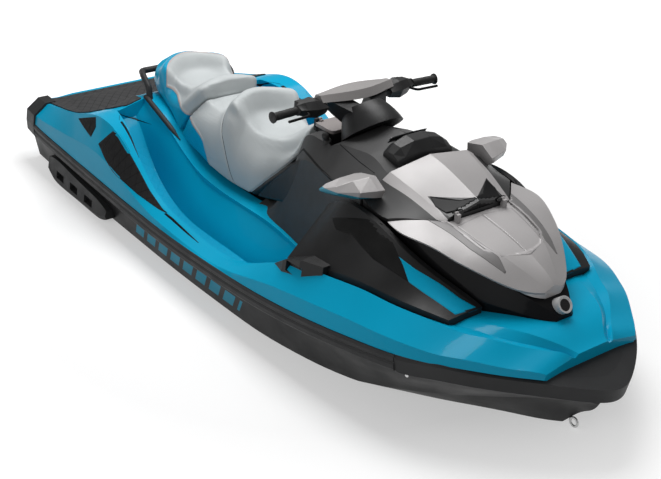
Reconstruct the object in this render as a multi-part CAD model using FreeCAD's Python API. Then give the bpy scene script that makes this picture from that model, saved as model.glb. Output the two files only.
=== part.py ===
import FreeCAD, Part
import math
import os
from functools import lru_cache
from FreeCAD import Vector as V

# A three-seat personal watercraft in millimetres. While it is drawn, X runs forward from the transom, Y to
# port and Z up from the keel. write() then moves each piece, to put the origin amidships at the waterline.

# Overall sizes
LENGTH = 3451.0
DRAFT = 235.0
GAP = 0.3
LID_GAP = 5.0
SEAT_GAP = 3.0

# Rub rail, bumpers
RAIL_HEIGHT = 68.0
RAIL_DEPTH = 14.0
RAIL_START, RAIL_END = 112.0, 2892.0
RAIL_STANDS_OUT = 6.5

# Joint between the hull tub and the deck moulding
JOINT_INSET = 60.0
HULL_SIDE = 20.0

# Footwells
WELL_START, WELL_END = 700.0, 2225.0
WELL_FLOOR = 322.0
WELL_BROW = 2.0

# Lifting strakes on the bottom, each at its share of the chine's half width
STRAKES = (0.45, 0.74)
STRAKE, STRAKE_DROP = 34.0, 13.0

# Engine bay and engine
BAY = (960.0, 1640.0)
BAY_HALF = 165.0
BAY_FLOOR = 70.0
ENGINE = (560.0, 250.0, 360.0)
ENGINE_X = 1030.0

# Water jet
SHAFT_Z = 160.0
TUNNEL_R = 106.0
TUNNEL_FRONT = 680.0
DUCT_R = 82.0
PUMP_R = 95.0
PUMP_BORE = 80.0
PUMP_BACK, PUMP_FRONT = 195.0, 375.0
IMPELLER_R = 74.5
HUB_R = 30.0
BLADES = 4
STATORS = 6
CONE_BACK, CONE_R, CONE_WALL = 134.0, 46.0, 6.0
NOZZLE_R = 62.0
NOZZLE_WALL = 5.0
NOZZLE_PIVOT_X = 125.0
NOZZLE_BACK, NOZZLE_AHEAD = 42.0, 4.0
PIN_R = 6.0
FORK_IN, FORK_OUT = 88.0, 97.0
SHAFT_R = 12.0
STERN_SPACE, STERN_SPACE_HALF = 270.0, 122.0
KEEL_FLAT = 18.0
RIDE_HALF = 66.0
GRATE_START, GRATE_END, GRATE_BARS = 590.0, 985.0, 4

# Thickness of the traction mats, and the outlines of those at the stern as (x, half width)
MAT = 6.0
PLATFORM_EDGE = ((42.0, 455.0), (300.0, 486.0), (560.0, 510.0), (612.0, 504.0), (596.0, 430.0),
                 (514.0, 370.0),
                 (552.0, 284.0))
PATCH_EDGE = ((605.0, 421.0), (525.0, 362.0), (562.0, 276.0), (694.0, 272.0), (694.0, 350.0))
BUMPER_GAP = 0.8

# Steering column: a raked axis through the middle of the neck seam
COLUMN = V(2060.0, 0.0, 955.0)
RAKE = math.radians(38.7)
AXIS = V(-math.sin(RAKE), 0.0, math.cos(RAKE))
BAR_R = 11.0
GRIP_R = 16.5
# The switch housing's sections from the grip inwards, each (y, back, front, low, high)
POD_SECTIONS = ((289.0, 1938.0, 1982.0, 1062.0, 1101.0), (262.0, 1922.0, 1994.0, 1050.0, 1110.0),
                (215.0, 1912.0, 2004.0, 1042.0, 1112.0), (163.0, 1918.0, 1996.0, 1050.0, 1096.0))
GRIP_END = V(1967.0, 418.0, 1080.0)
GRIP_LENGTH = 125.0
BAR_MIDDLE = V(1950.0, 150.0, 1082.0)

# Gauge housing's front face, and the bare disc on the nose
GAUGE_FRONT = 2402.0
BADGE = V(3163.0, 0.0, 695.0)
BADGE_R = 32.0

# Storage lid
LID_HINGE = V(2704.0, 0.0, 893.0)
LID_BACK = 2417.0
# Glovebox lid
GLOVE_HINGE = V(1806.0, 0.0, 946.0)
GLOVE_LENGTH = 126.0
GLOVE_HALF = 92.0
GLOVE_THICK = 14.0

# The hood's sunk middle, as (x, half width)
SCOOP_DEPTH = 7.0
SCOOP_EDGE = ((2500.0, 178.0), (2700.0, 156.0), (2800.0, 150.0), (2880.0, 140.0), (2944.0, 88.0),
              (2962.0, 20.0))

# Storage bin
BIN_BACK, BIN_FRONT, BIN_HALF = 2440.0, 2682.0, 205.0
BIN_FLOOR, BIN_RIM, BIN_TOP = 400.0, 836.0, 1000.0
BIN_WALL = 6.0

# Joint between the two seats, as (x, z) low and high
SEAT_SEAM_LOW, SEAT_SEAM_HIGH = (905.0, 573.0), (1035.0, 790.0)

# Column below the neck, and the knuckles of the two lids
SPIGOT_R, SPIGOT_LENGTH = 24.0, 70.0
NECK_TOP, ARM_TOP = 112.0, 176.0
KNUCKLE_R, KNUCKLE = 7.0, 16.0
HINGE_PIN_R = 3.0
LID_KNUCKLE_Y, GLOVE_KNUCKLE_Y = 92.0, 52.0

# Reverse gate and boarding step
GATE_PIVOT = V(158.0, 0.0, SHAFT_Z)
GATE_R = 136.0
GATE_HALF = 112.0
GATE_WALL = 6.0
GATE_SPAN = (38.0, 100.0)
STEP_HINGE = V(4.0, 0.0, 330.0)
STEP_HALF, STEP_HEIGHT, STEP_R, STEP_EYE_R = 150.0, 150.0, 9.0, 12.0

STERN_EYE_Y, STERN_EYE_Z = 300.0, 260.0
HANDLE_R = 15.0

# Where the deck and the hull end at the stern
DECK_BACK, HULL_BACK = 25.0, 20.0

PARTS = "parts"


def curve(*knots):
    """A smooth function through (x, value) knots, in cubic pieces that never overshoot a knot."""
    xs, vs = zip(*knots)
    last = len(xs) - 1
    run = [(vs[i + 1] - vs[i]) / (xs[i + 1] - xs[i]) for i in range(last)]
    slope = [run[0]]
    for a, b in zip(run, run[1:]):
        slope.append(0.0 if a * b <= 0 else 2 * a * b / (a + b))
    slope.append(run[-1])

    def value(x):
        if x <= xs[0]:
            return vs[0]
        if x >= xs[last]:
            return vs[last]
        i = max(k for k in range(last) if xs[k] <= x)
        h = xs[i + 1] - xs[i]
        t = (x - xs[i]) / h
        ends = (1 + 2 * t) * (1 - t) ** 2 * vs[i] + t * t * (3 - 2 * t) * vs[i + 1]
        return ends + h * t * (1 - t) * ((1 - t) * slope[i] - t * slope[i + 1])

    return value


# Character lines of the hull and deck, each a height or a half width along X
keel_z = curve((0, 0), (2600, 0), (2820, 15), (2930, 53), (3030, 99), (3155, 165), (3270, 285), (3380, 400))
chine_y = curve((0, 500), (900, 545), (1500, 555), (2000, 548), (2300, 515), (2600, 450), (2850, 360),
                (3050, 255), (3250, 130), (3380, 34))
chine_z = curve((0, 245), (900, 228), (1500, 200), (2100, 188), (2400, 205), (2650, 245), (2850, 292),
                (3050, 345), (3250, 398), (3380, 416))
sheer_y = curve((0, 545), (190, 567), (430, 580), (870, 597), (1340, 612), (1760, 621), (2120, 619),
                (2430, 607), (2740, 573), (2910, 535), (3050, 462), (3200, 345), (3330, 215), (3420, 92),
                (LENGTH, 30))
sheer_z = curve((0, 455), (430, 447), (870, 436), (1340, 428), (1760, 440), (2120, 458), (2430, 488),
                (2740, 523), (2910, 539), (3100, 548), (3300, 545), (LENGTH, 520))
joint_z = curve((0, 300), (2450, 300), (2700, 345), (2860, 410), (2980, 455), (3100, 470), (3310, 466),
                (3380, 458))
gunwale_y = curve((0, 470), (300, 500), (600, 525), (900, 530), (1200, 540), (1500, 552), (1900, 552),
                  (2200, 535), (2500, 505), (2800, 455), (3000, 365), (3150, 262), (3290, 120), (3400, 40))
gunwale_z = curve((0, 540), (110, 545), (350, 600), (600, 660), (800, 715), (1000, 645), (1200, 540),
                  (1360, 480), (1700, 452), (1900, 465), (2050, 520), (2200, 595), (2360, 625), (2600, 660),
                  (2850, 655), (3000, 632), (3150, 620), (3290, 595), (3400, 545))
pedestal_y = curve((0, 300), (500, 290), (620, 262), (750, 250), (1000, 252), (1300, 256), (1500, 256),
                   (1800, 272), (2100, 320), (2300, 362), (2600, 380), (2900, 300), (3150, 190), (3290, 85),
                   (3400, 25))
pedestal_z = curve((0, 540), (300, 552), (480, 590), (620, 690), (700, 722), (870, 660), (970, 612),
                   (1100, 548), (1190, 512), (1385, 494), (1575, 498), (1800, 500), (2100, 510), (2300, 560),
                   (2600, 600), (2900, 622), (3150, 640), (3290, 602), (3400, 550))
# The footwell's floor, how far its inner wall leans out from the pedestal, and how broad the deck's ridge is
# outside it
well_floor = curve((WELL_START, 640), (800, 540), (950, 420), (1200, 338), (1500, WELL_FLOOR),
                   (2050, WELL_FLOOR), (WELL_END, 375))
well_lean = curve((WELL_START, 40), (900, 75), (1200, 98), (1500, 100), (1800, 88), (2050, 50),
                  (WELL_END, 34))
ridge_width = curve((WELL_START, 110), (850, 88), (1050, 42), (1300, 22), (WELL_END, 22))


# Stations that the hull, deck and rail share, so that their long edges run side by side
STATIONS = (112, 300, 500, 700, 900, 1150, 1400, 1650, 1900, 2100, 2280, 2450, 2620, 2780, 2892)
BOW_STATIONS = (2980, 3070, 3160, 3240, 3310)


def rail_z(x):
    return sheer_z(x) - RAIL_HEIGHT


def inner_y(x):
    """Half width of the joint's lower middle part, inside the hull's side all along."""
    rise = (joint_z(x) - chine_z(x)) / (rail_z(x) - chine_z(x))
    side = chine_y(x) + (sheer_y(x) - RAIL_DEPTH - chine_y(x)) * min(rise, 1)
    return min(sheer_y(x) - JOINT_INSET, side - HULL_SIDE)


def polygon(points):
    return Part.makePolygon(list(points) + [points[0]])


def across(x, half):
    """A closed section at x from one side's (y, z) points, which start and end on the middle plane."""
    other = [(-y, z) for y, z in reversed(half[1:-1])]
    return polygon([V(x, y, z) for y, z in list(half) + other])


def one_side(x, points, side=1):
    return polygon([V(x, side * y, z) for y, z in points])


def skin(wires, ruled=False):
    solid = Part.makeLoft(wires, True, ruled)
    if solid.Volume < 0:
        solid.reverse()
    return solid


def box(x0, x1, y0, y1, z0, z1):
    return Part.makeBox(x1 - x0, y1 - y0, z1 - z0, V(x0, y0, z0))


def rod(a, b, radius):
    return Part.makeCylinder(radius, (b - a).Length, a, b - a)


def bent_tube(points, radius, bend):
    """A round tube along straight runs joined by arcs of one bend radius."""
    edges = []
    start = points[0]
    for before, corner, after in zip(points, points[1:], points[2:]):
        into, out = (corner - before).normalize(), (after - corner).normalize()
        turn = into.getAngle(out)
        back = bend * math.tan(turn / 2)
        a, b = corner - into * back, corner + out * back
        middle = corner + (out - into).normalize() * (bend / math.cos(turn / 2) - bend)
        edges += [Part.LineSegment(start, a).toShape(), Part.Arc(a, middle, b).toShape()]
        start = b
    edges.append(Part.LineSegment(start, points[-1]).toShape())
    path = Part.Wire(edges)
    way = (points[1] - points[0]).normalize()
    ring = Part.Wire(Part.makeCircle(radius, points[0], way))
    return path.makePipeShell([ring], True, False)


def barrel(hinge, y0, y1, radius):
    return rod(V(hinge.x, y0, hinge.z), V(hinge.x, y1, hinge.z), radius)


def knuckles(hinge, y, web, moving):
    """A pair of hinge knuckles with their webs: the fixed ones hold the pin, the moving ones turn on it."""
    start = y if moving else y + KNUCKLE + 1
    shapes = []
    for side in (1, -1):
        y0, y1 = sorted((side * start, side * (start + KNUCKLE)))
        block = barrel(hinge, y0, y1, KNUCKLE_R).fuse(box(web[0], web[1], y0, y1, web[2], web[3]))
        if moving:
            block = block.cut(barrel(hinge, y0 - 1, y1 + 1, HINGE_PIN_R + GAP))
        else:
            block = block.fuse(barrel(hinge, *sorted((side * y, side * (start + KNUCKLE))), HINGE_PIN_R))
        shapes.append(block)
    return shapes


def knuckle_space(hinge, y):
    """The room that the other piece leaves round both pairs of knuckles."""
    reach = 2 * KNUCKLE + 1 + LID_GAP
    near = [barrel(hinge, *sorted((side * (y - LID_GAP), side * (y + reach))), KNUCKLE_R + LID_GAP)
            for side in (1, -1)]
    return near[0].fuse(near[1])


def mirror(shape):
    return shape.mirror(V(0, 0, 0), V(0, 1, 0))


def both(shape):
    return Part.makeCompound([shape, mirror(shape)])


@lru_cache
def hull_form():
    """The whole hull as one body up to the rail, with nothing taken out."""
    def section(x):
        top = rail_z(x) + 20
        return across(x, [(0, keel_z(x)), (chine_y(x), chine_z(x)), (sheer_y(x) - RAIL_DEPTH - 3, rail_z(x)),
                          (sheer_y(x) - RAIL_DEPTH - 3, top), (0, top)])
    return skin([section(x) for x in (HULL_BACK,) + STATIONS + BOW_STATIONS + (3372,)])


@lru_cache
def joint_form():
    """Everything above the joint between hull and deck: a flange at the rail, and lower in the middle."""
    def section(x):
        inner = inner_y(x)
        return across(x, [(0, joint_z(x)), (inner, joint_z(x)), (inner + 20, rail_z(x)), (800, rail_z(x)),
                          (800, 1500), (0, 1500)])
    return skin([section(x) for x in (-20,) + STATIONS + BOW_STATIONS + (3500,)])


def raised(shape, height=GAP):
    moved = shape.copy()
    moved.translate(V(0, 0, height))
    return moved


def hull():
    solid = hull_form().cut(joint_form())
    for side in (1, -1):
        solid = solid.cut(stern_bumper(side, GAP))
    solid = solid.cut(bow_bumper(BUMPER_GAP)).cut(bow_bumper())
    solid = solid.cut(box(BAY[0], BAY[1], -BAY_HALF, BAY_HALF, BAY_FLOOR, 600))
    tunnel = rod(V(-50, 0, SHAFT_Z), V(TUNNEL_FRONT, 0, SHAFT_Z), TUNNEL_R)
    mouth = box(-50, PUMP_FRONT + 20, -TUNNEL_R, TUNNEL_R, -50, SHAFT_Z)
    stern_space = box(-50, STERN_SPACE, -STERN_SPACE_HALF, STERN_SPACE_HALF, -50, 400)
    flat = box(-50, GRATE_END + 12, -TUNNEL_R, TUNNEL_R, -20, KEEL_FLAT)
    shaft_hole = rod(V(TUNNEL_FRONT - 40, 0, SHAFT_Z), V(BAY[0] + 20, 0, SHAFT_Z), SHAFT_R + LID_GAP)
    for share in STRAKES:
        for side in (1, -1):
            solid = solid.fuse(strake(side, share))
    for space in (tunnel, mouth, stern_space, flat, shaft_hole, duct()):
        solid = solid.cut(space)
    return largest(solid)


def strake(side, share):
    """A lifting strake: a long wedge that stands down from the bottom at that share of the chine's width."""
    def section(x, drop):
        y = share * chine_y(x)
        def bottom(out):
            return keel_z(x) + (chine_z(x) - keel_z(x)) * (y + out) / chine_y(x)
        return one_side(x, [(y - STRAKE, bottom(-STRAKE) + 6), (y + 4, bottom(4) - drop),
                            (y + 8, bottom(8) + 6)], side)
    stations = ((520, 2), (760, STRAKE_DROP), (1200, STRAKE_DROP), (1700, STRAKE_DROP), (2200, STRAKE_DROP),
                (2500, STRAKE_DROP * 0.7), (2740, 2))
    return skin([section(x, drop) for x, drop in stations])


def duct():
    """The water intake: a round duct that slopes from a long mouth in the keel up to the pump."""
    start, end = V(TUNNEL_FRONT - 40, 0, SHAFT_Z), V(TUNNEL_FRONT + 420, 0, -30)
    return rod(start, end, DUCT_R)


def rail(side, spare=0.0):
    """The rub rail under the deck edge: two rounded ridges with a groove between."""
    def section(x):
        top, y = sheer_z(x) - GAP + spare, sheer_y(x)
        low = rail_z(x) + GAP
        inner = y - RAIL_DEPTH
        out = y + RAIL_STANDS_OUT
        mid = (top + low) / 2
        return one_side(x, [(inner, top), (out - 5, top), (out, top - 12), (out - 1, mid + 8),
                            (out - 6, mid + 2), (out - 2, mid - 8), (out - 3, low + 10),
                            (out - 9, low), (inner, low)], side)
    return skin([section(x) for x in STATIONS])


def bow_bumper(spare=0.0):
    """The soft nose cap: a strip along the sheer that grows into a thick faceted nose on the middle."""
    def section(x, side):
        y = sheer_y(x)
        ahead = (x - RAIL_END) / (LENGTH - RAIL_END)
        depth = 18 + 130 * max(ahead, 0.0) ** 2
        top = sheer_z(x) + 24 + 8 * ahead
        low = rail_z(x) - spare
        turn = math.radians(90 * min(max(ahead, 0), 1) ** 1.1)
        out = V(math.sin(turn), side * math.cos(turn), 0)
        base = V(x, side * y, 0)
        def at(inward, z):
            return base - out * inward + V(0, 0, z)
        return polygon([at(depth + spare, top + spare), at(depth * 0.45 - 2 - spare, sheer_z(x) + 6 + spare),
                        at(-4 - spare, sheer_z(x) - 10), at(8 - spare, low), at(depth + spare, low)])
    stations = (RAIL_END + 0.6 - 2 * spare, 3000, 3120, 3240, 3350, 3425)
    wires = [section(x, -1) for x in stations] + [section(LENGTH - 4, -1)]
    port = [section(x, 1) for x in reversed(stations)]
    for w in (section(LENGTH - 4, 1),):
        port.insert(0, w)
    return skin(wires + port)


def stern_bumper(side, spare=0.0):
    """The stern corner's cap: it covers the deck's flank and folds over the platform's edge."""
    def section(x):
        y, low = sheer_y(x), rail_z(x) - 6 - spare
        edge_y, edge_z = gunwale_y(x), gunwale_z(x)
        flank_z = sheer_z(x) + 0.45 * (edge_z - sheer_z(x))
        inner = y - RAIL_DEPTH - 10 - spare
        return one_side(x, [(inner, low), (y - 4, low), (y + 5, low + 12), (y + 7 + spare, sheer_z(x) - 10),
                            (y + spare, flank_z + 6), (edge_y + 10 + spare, edge_z + 7 + spare),
                            (edge_y - 44 - spare, edge_z + 7 + spare), (edge_y - 44 - spare,
                                                                        edge_z - 16 - spare),
                            (edge_y - 6, edge_z - 18 - spare), (inner, flank_z - 20 - spare)], side)
    ends = 3.0 if spare else 0.0
    return skin([section(x) for x in (4 - ends, 60, RAIL_START - 0.6 + ends)])


def well_foot(x):
    """The footwell's inner wall at its floor."""
    return pedestal_y(x) + well_lean(x)


def well_wall(x):
    """The footwell's outer wall."""
    return gunwale_y(x) - ridge_width(x)


def footwell(side):
    """The space a rider's foot stands in, taken out of the deck: its inner wall slopes up to the seat."""
    def section(x, narrow=0.0):
        foot, wall = well_foot(x) + narrow, well_wall(x) - narrow
        floor, brow = well_floor(x), pedestal_y(x) + WELL_BROW
        return one_side(x, [(foot, floor), (wall - 18, floor), (wall, floor + 30), (wall + 6, 1000),
                            (brow, 1000), (brow, max(pedestal_z(x) - 20, floor + 60))], side)
    stations = [(WELL_START, 12), (800, 4), (900, 0), (1050, 0), (1200, 0), (1500, 0), (1800, 0), (2050, 0),
                (WELL_END, 14)]
    return skin([section(x, n) for x, n in stations])


@lru_cache
def deck_form():
    """The whole deck as one body, with nothing taken out."""
    def section(x):
        ped_y, ped_z = pedestal_y(x), pedestal_z(x)
        gun_y, gun_z = gunwale_y(x), gunwale_z(x)
        edge, wall = sheer_y(x) - 2, sheer_y(x) - RAIL_DEPTH - 2 * GAP
        flank_z = sheer_z(x) + 0.45 * (gun_z - sheer_z(x))
        root_y = ped_y + 0.5 * (gun_y - ped_y)
        root_z = min(ped_z, gun_z) - 6
        return across(x, [(0, ped_z), (ped_y, ped_z), (root_y, root_z), (gun_y, gun_z), (edge - 8, flank_z),
                          (edge, sheer_z(x) + GAP), (wall, sheer_z(x) + GAP), (wall, rail_z(x) - 20),
                          (inner_y(x) - 10, joint_z(x) - 30), (0, joint_z(x) - 30)])
    return skin([section(x) for x in (DECK_BACK,) + STATIONS + BOW_STATIONS])


def deck():
    solid = deck_form().common(raised(joint_form()))
    for side in (1, -1):
        solid = solid.cut(footwell(side))
        solid = solid.cut(stern_bumper(side, GAP))
    solid = solid.cut(bow_bumper(BUMPER_GAP)).cut(bow_bumper())
    solid = solid.cut(box(BAY[0], BAY[1], -BAY_HALF, BAY_HALF, 0, 900))
    return largest(solid.cut(bin_space(BIN_WALL + GAP)))


def largest(shape):
    return max(shape.Solids, key=lambda solid: solid.Volume)


def bin_space(spare=0.0):
    """The storage bin's hollow: a tub that narrows towards its floor, grown by spare on every side."""
    x0, x1, half = BIN_BACK, BIN_FRONT, BIN_HALF

    def ring(back, front, y_back, y_front, z):
        return polygon([V(back - spare, y_back + spare, z), V(front + spare, y_front + spare, z),
                        V(front + spare, -y_front - spare, z), V(back - spare, -y_back - spare, z)])
    return skin([ring(x0 + 40, x1 - 24, half - 45, half - 75, BIN_FLOOR - spare),
                 ring(x0, x1, half, half - 60, BIN_TOP)], True)


def storage_bin():
    """The bin's tub: a wall round the hollow, cut off level under the lid."""
    tub = bin_space(BIN_WALL).cut(bin_space())
    return tub.cut(box(2000, 3200, -400, 400, BIN_RIM, BIN_TOP + 10))


# Console and front cowl lines
console_top = curve((1560, 490), (1640, 560), (1700, 660), (1760, 790), (1800, 880), (1850, 925),
                    (1950, 940),
                    (2050, 985), (2150, 1020), (2250, 1030), (2330, 1005), (2405, 975))
console_edge_y = curve((1560, 90), (1700, 110), (1850, 150), (1950, 165), (2100, 160), (2250, 165),
                       (2405, 190))
console_edge_z = curve((1560, 485), (1640, 550), (1700, 650), (1760, 775), (1800, 865), (1850, 915),
                       (1950, 925),
                       (2100, 950), (2250, 975), (2405, 955))
console_side_y = curve((1560, 150), (1700, 165), (1850, 200), (2000, 238), (2200, 285), (2405, 322))
console_side_z = curve((1560, 480), (1640, 520), (1760, 690), (1850, 800), (1950, 850), (2200, 870),
                       (2405, 880))
cowl_top = curve((2412, 842), (2600, 840), (2710, 838), (2900, 785), (3020, 735), (3100, 702), (3145, 678),
                 (3168, 656))
cowl_side_y = curve((2412, 318), (2560, 312), (2700, 285), (2850, 225), (2960, 165), (3050, 110), (3120, 70),
                    (3168, 30))
hood_top = curve((2540, 905), (2720, 872), (2850, 848), (2973, 812), (3060, 775), (3103, 745))
hood_ridge_y = curve((2540, 200), (2720, 170), (2850, 130), (2931, 106), (3040, 60), (3103, 25))
hood_ridge_z = curve((2540, 890), (2720, 868), (2850, 842), (2931, 821), (3040, 770), (3103, 735))
hood_edge_y = curve((2540, 316), (2650, 330), (2790, 290), (2900, 235), (2980, 180), (3060, 110), (3103, 45))
lid_top = curve((2412, 996), (2480, 985), (2560, 962), (2640, 934), (2700, 912))
lid_ridge_y = curve((2412, 196), (2560, 172), (2657, 150), (2700, 138))
lid_ridge_z = curve((2412, 970), (2560, 925), (2657, 888), (2700, 880))
lid_side_y = curve((2412, 322), (2560, 314), (2640, 240), (2700, 165))
panel_top_y = curve((2214, 318), (2300, 338), (2412, 355), (2560, 357), (2650, 348), (2790, 305),
                    (2900, 252),
                    (2960, 225))
panel_top_z = curve((2214, 790), (2300, 840), (2412, 868), (2560, 850), (2650, 815), (2790, 745),
                    (2900, 690),
                    (2960, 655))


@lru_cache
def console():
    """The fixed shell in front of the rider, cut off square to the column under the turning neck."""
    def section(x):
        low = pedestal_z(x) - 25
        side_z = max(console_side_z(x), low + 40)
        return across(x, [(0, console_top(x)), (console_edge_y(x), console_edge_z(x)),
                          (console_side_y(x), side_z), (pedestal_y(x) - 8, low), (0, low)])
    stations = (1565, 1640, 1700, 1760, 1810, 1870, 1960, 2060, 2160, 2260, 2340, 2405)
    solid = skin([section(x) for x in stations])
    reach = rod(COLUMN, COLUMN + AXIS * 400, 175)
    solid = solid.cut(reach).cut(glove_space(1.0)).cut(raised(deck_form())).cut(glove_lid_space())
    bore = rod(COLUMN - AXIS * (SPIGOT_LENGTH + LID_GAP), COLUMN + AXIS * 10, SPIGOT_R + GAP)
    return largest(solid.cut(bore))


def gauge_housing():
    """The visor over the dials, open towards the rider, on the console ahead of the column."""
    def section(x, half, top, trim=0.0):
        low = console_top(x) - 60
        return across(x, [(0, top - trim), (half * 0.55, top - 4 - trim), (half - trim, top - 34),
                          (half + 12 - trim, low), (0, low)])
    body = skin([section(2292, 112, 1054), section(2330, 122, 1062), section(2370, 128, 1060),
                 section(GAUGE_FRONT, 132, 1034)])
    face = skin([section(2262, 112, 1046, 9), section(2340, 112, 1050, 9)])
    floor = box(2200, 2500, -300, 300, 900, console_top(2292) + 9)
    hood_over = rod(COLUMN, COLUMN + AXIS * 400, 178)
    solid = body.cut(face.cut(floor)).cut(raised(console())).cut(hood_over)
    return largest(solid)


def glove_space(spare=0.0):
    """The glovebox: a hollow under its lid, open upwards."""
    x0, x1 = GLOVE_HINGE.x + 8, GLOVE_HINGE.x + GLOVE_LENGTH - 12
    return box(x0 - spare, x1 + spare, 12 - GLOVE_HALF - spare, GLOVE_HALF - 12 + spare,
               GLOVE_HINGE.z - 120 - spare, GLOVE_HINGE.z + 80)


def glove_lid_space():
    """The shallow seat that the glovebox lid lies in, clear of it all round."""
    x0, z = GLOVE_HINGE.x, GLOVE_HINGE.z
    return box(x0 - 2, x0 + GLOVE_LENGTH + LID_GAP, -GLOVE_HALF - LID_GAP, GLOVE_HALF + LID_GAP,
               z - 6 - GLOVE_THICK - 1.5, z + 100)


def glovebox():
    """The glovebox's tub, a thin-walled tray that drops into the console."""
    outer = glove_space(0.7)
    rim = GLOVE_HINGE.z - 26
    tub = outer.cut(glove_space(-4.0)).cut(box(1500, 2300, -300, 300, rim, rim + 300))
    x0, x1 = GLOVE_HINGE.x, outer.BoundBox.XMin
    for block in knuckles(GLOVE_HINGE, GLOVE_KNUCKLE_Y, (x0 - KNUCKLE_R, x0 + 1, rim - 20, GLOVE_HINGE.z),
                          False):
        tub = tub.fuse(block)
    foot = GLOVE_KNUCKLE_Y + KNUCKLE + 1
    for side in (1, -1):
        y0, y1 = sorted((side * foot, side * (foot + KNUCKLE)))
        tub = tub.fuse(box(x0 - KNUCKLE_R, x1 + 4, y0, y1, rim - 20, rim - 5))
    return tub.removeSplitter()


def glovebox_lid():
    x0 = GLOVE_HINGE.x
    z = GLOVE_HINGE.z - 6
    plate = box(x0 + 3, x0 + GLOVE_LENGTH, -GLOVE_HALF, GLOVE_HALF, z - GLOVE_THICK, z)
    corners = [e for e in plate.Edges if abs(e.Vertexes[0].Z - e.Vertexes[-1].Z) > 5]
    plate = plate.makeFillet(16, corners).cut(knuckle_space(GLOVE_HINGE, GLOVE_KNUCKLE_Y))
    for block in knuckles(GLOVE_HINGE, GLOVE_KNUCKLE_Y, (x0, x0 + 16, z - GLOVE_THICK + 2, GLOVE_HINGE.z),
                          True):
        plate = plate.fuse(block.cut(glove_fixed_room()))
    return plate.removeSplitter()


def glove_fixed_room():
    """The room round the fixed knuckles that the moving ones stay out of."""
    start = GLOVE_KNUCKLE_Y + KNUCKLE + GAP
    both_sides = [barrel(GLOVE_HINGE, *sorted((side * start, side * (start + 40))), KNUCKLE_R + LID_GAP)
                  for side in (1, -1)]
    return both_sides[0].fuse(both_sides[1])


@lru_cache
def cowl():
    """The gloss front moulding that carries the hood and lid, with the storage bin's hole."""
    def section(x):
        low = pedestal_z(x) - 25
        half = min(pedestal_y(x) - 8, cowl_side_y(x) + 18)
        top = max(cowl_top(x), low + 8)
        return across(x, [(0, top), (cowl_side_y(x), top - 4), (half, low + 2 + 0.35 * (top - low)),
                          (half, low),
                          (0, low)])
    stations = (2412, 2480, 2560, 2640, 2720, 2800, 2880, 2960, 3040, 3100, 3145, 3168)
    solid = skin([section(x) for x in stations]).cut(bin_space(BIN_WALL + GAP))
    return largest(solid.cut(raised(deck_form())))


def lid_outline(spare=0.0):
    """The storage lid's outline from above, as a tall prism."""
    side = [(LID_BACK - spare, 330 + spare), (2545 + spare * 0.6, 330 + spare),
            (2548 + spare * 0.8, 316 + spare),
            (2696 + spare * 0.8, 165 + spare * 0.6), (2702 + spare, 0)]
    points = [V(x, y, 700) for x, y in side] + [V(x, -y, 700) for x, y in reversed(side[:-1])]
    return Part.Face(polygon(points)).extrude(V(0, 0, 500))


@lru_cache
def storage_lid():
    """The wind deflector and the dark shoulders beside it, one lid over the storage bin."""
    def section(x):
        low = cowl_top(x) + LID_GAP
        side_z = max(low + 16, lid_ridge_z(x) - 0.62 * (lid_side_y(x) - lid_ridge_y(x)))
        return across(x, [(0, lid_top(x)), (lid_ridge_y(x), lid_ridge_z(x)), (lid_side_y(x), side_z),
                          (lid_side_y(x) - 4, low), (0, low)])
    solid = skin([section(x) for x in (2412, 2470, 2540, 2610, 2670, 2700)])
    solid = solid.common(lid_outline()).cut(knuckle_space(LID_HINGE, LID_KNUCKLE_Y))
    for block in knuckles(LID_HINGE, LID_KNUCKLE_Y, (LID_HINGE.x - 36, LID_HINGE.x, 884, 892), True):
        solid = solid.fuse(block)
    return largest(solid.removeSplitter())


def scoop_outline():
    """The hood's sunk middle from above, as a tall prism: wide under the deflector and blunt ahead."""
    port = [V(x, y, 700) for x, y in SCOOP_EDGE]
    return Part.Face(polygon(port + [V(v.x, -v.y, v.z) for v in reversed(port)])).extrude(V(0, 0, 500))


def hood():
    """The silver nose panel ahead of the lid, with its raised middle."""
    def section(x):
        low = cowl_top(x) + GAP
        edge_z = max(low + 10, hood_ridge_z(x) - 0.42 * (hood_edge_y(x) - hood_ridge_y(x)))
        low = min(low, edge_z - 10)
        return across(x, [(0, hood_top(x)), (hood_ridge_y(x), hood_ridge_z(x)), (hood_edge_y(x), edge_z),
                          (hood_edge_y(x) - 6, edge_z - 9), (min(cowl_side_y(x), hood_edge_y(x) - 8),
                                                             low), (0, low)])
    solid = skin([section(x) for x in (2520, 2600, 2680, 2760, 2850, 2931, 3000, 3060, 3103)])
    solid = solid.cut(scoop_outline().cut(raised(solid, -SCOOP_DEPTH)))
    solid = largest(solid.cut(lid_outline(LID_GAP)).cut(raised(cowl())))
    for block in knuckles(LID_HINGE, LID_KNUCKLE_Y, (LID_HINGE.x, LID_HINGE.x + 18, 862, LID_HINGE.z),
                          False):
        solid = solid.fuse(block)
    return largest(solid.removeSplitter())


def side_panel(side):
    """The dark side fairing between the deck's shoulder and the console and hood."""
    def section(x):
        top_y, top_z = panel_top_y(x), panel_top_z(x)
        low_y, low_z = gunwale_y(x) - 24, gunwale_z(x) - 2
        inner = top_y - 24
        return one_side(x, [(top_y, top_z), (low_y, low_z + 14), (low_y, low_z - 20),
                            (inner + 4, low_z - 20),
                            (inner, top_z - 2)], side)
    stations = (2214, 2290, 2370, 2450, 2540, 2640, 2740, 2840, 2920, 2960)
    solid = skin([section(x) for x in stations]).cut(raised(deck_form()))
    for inner in (console(), cowl()):
        near = inner.copy()
        near.translate(V(0, side * GAP, 0))
        solid = solid.cut(near)
    return largest(solid)


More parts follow.
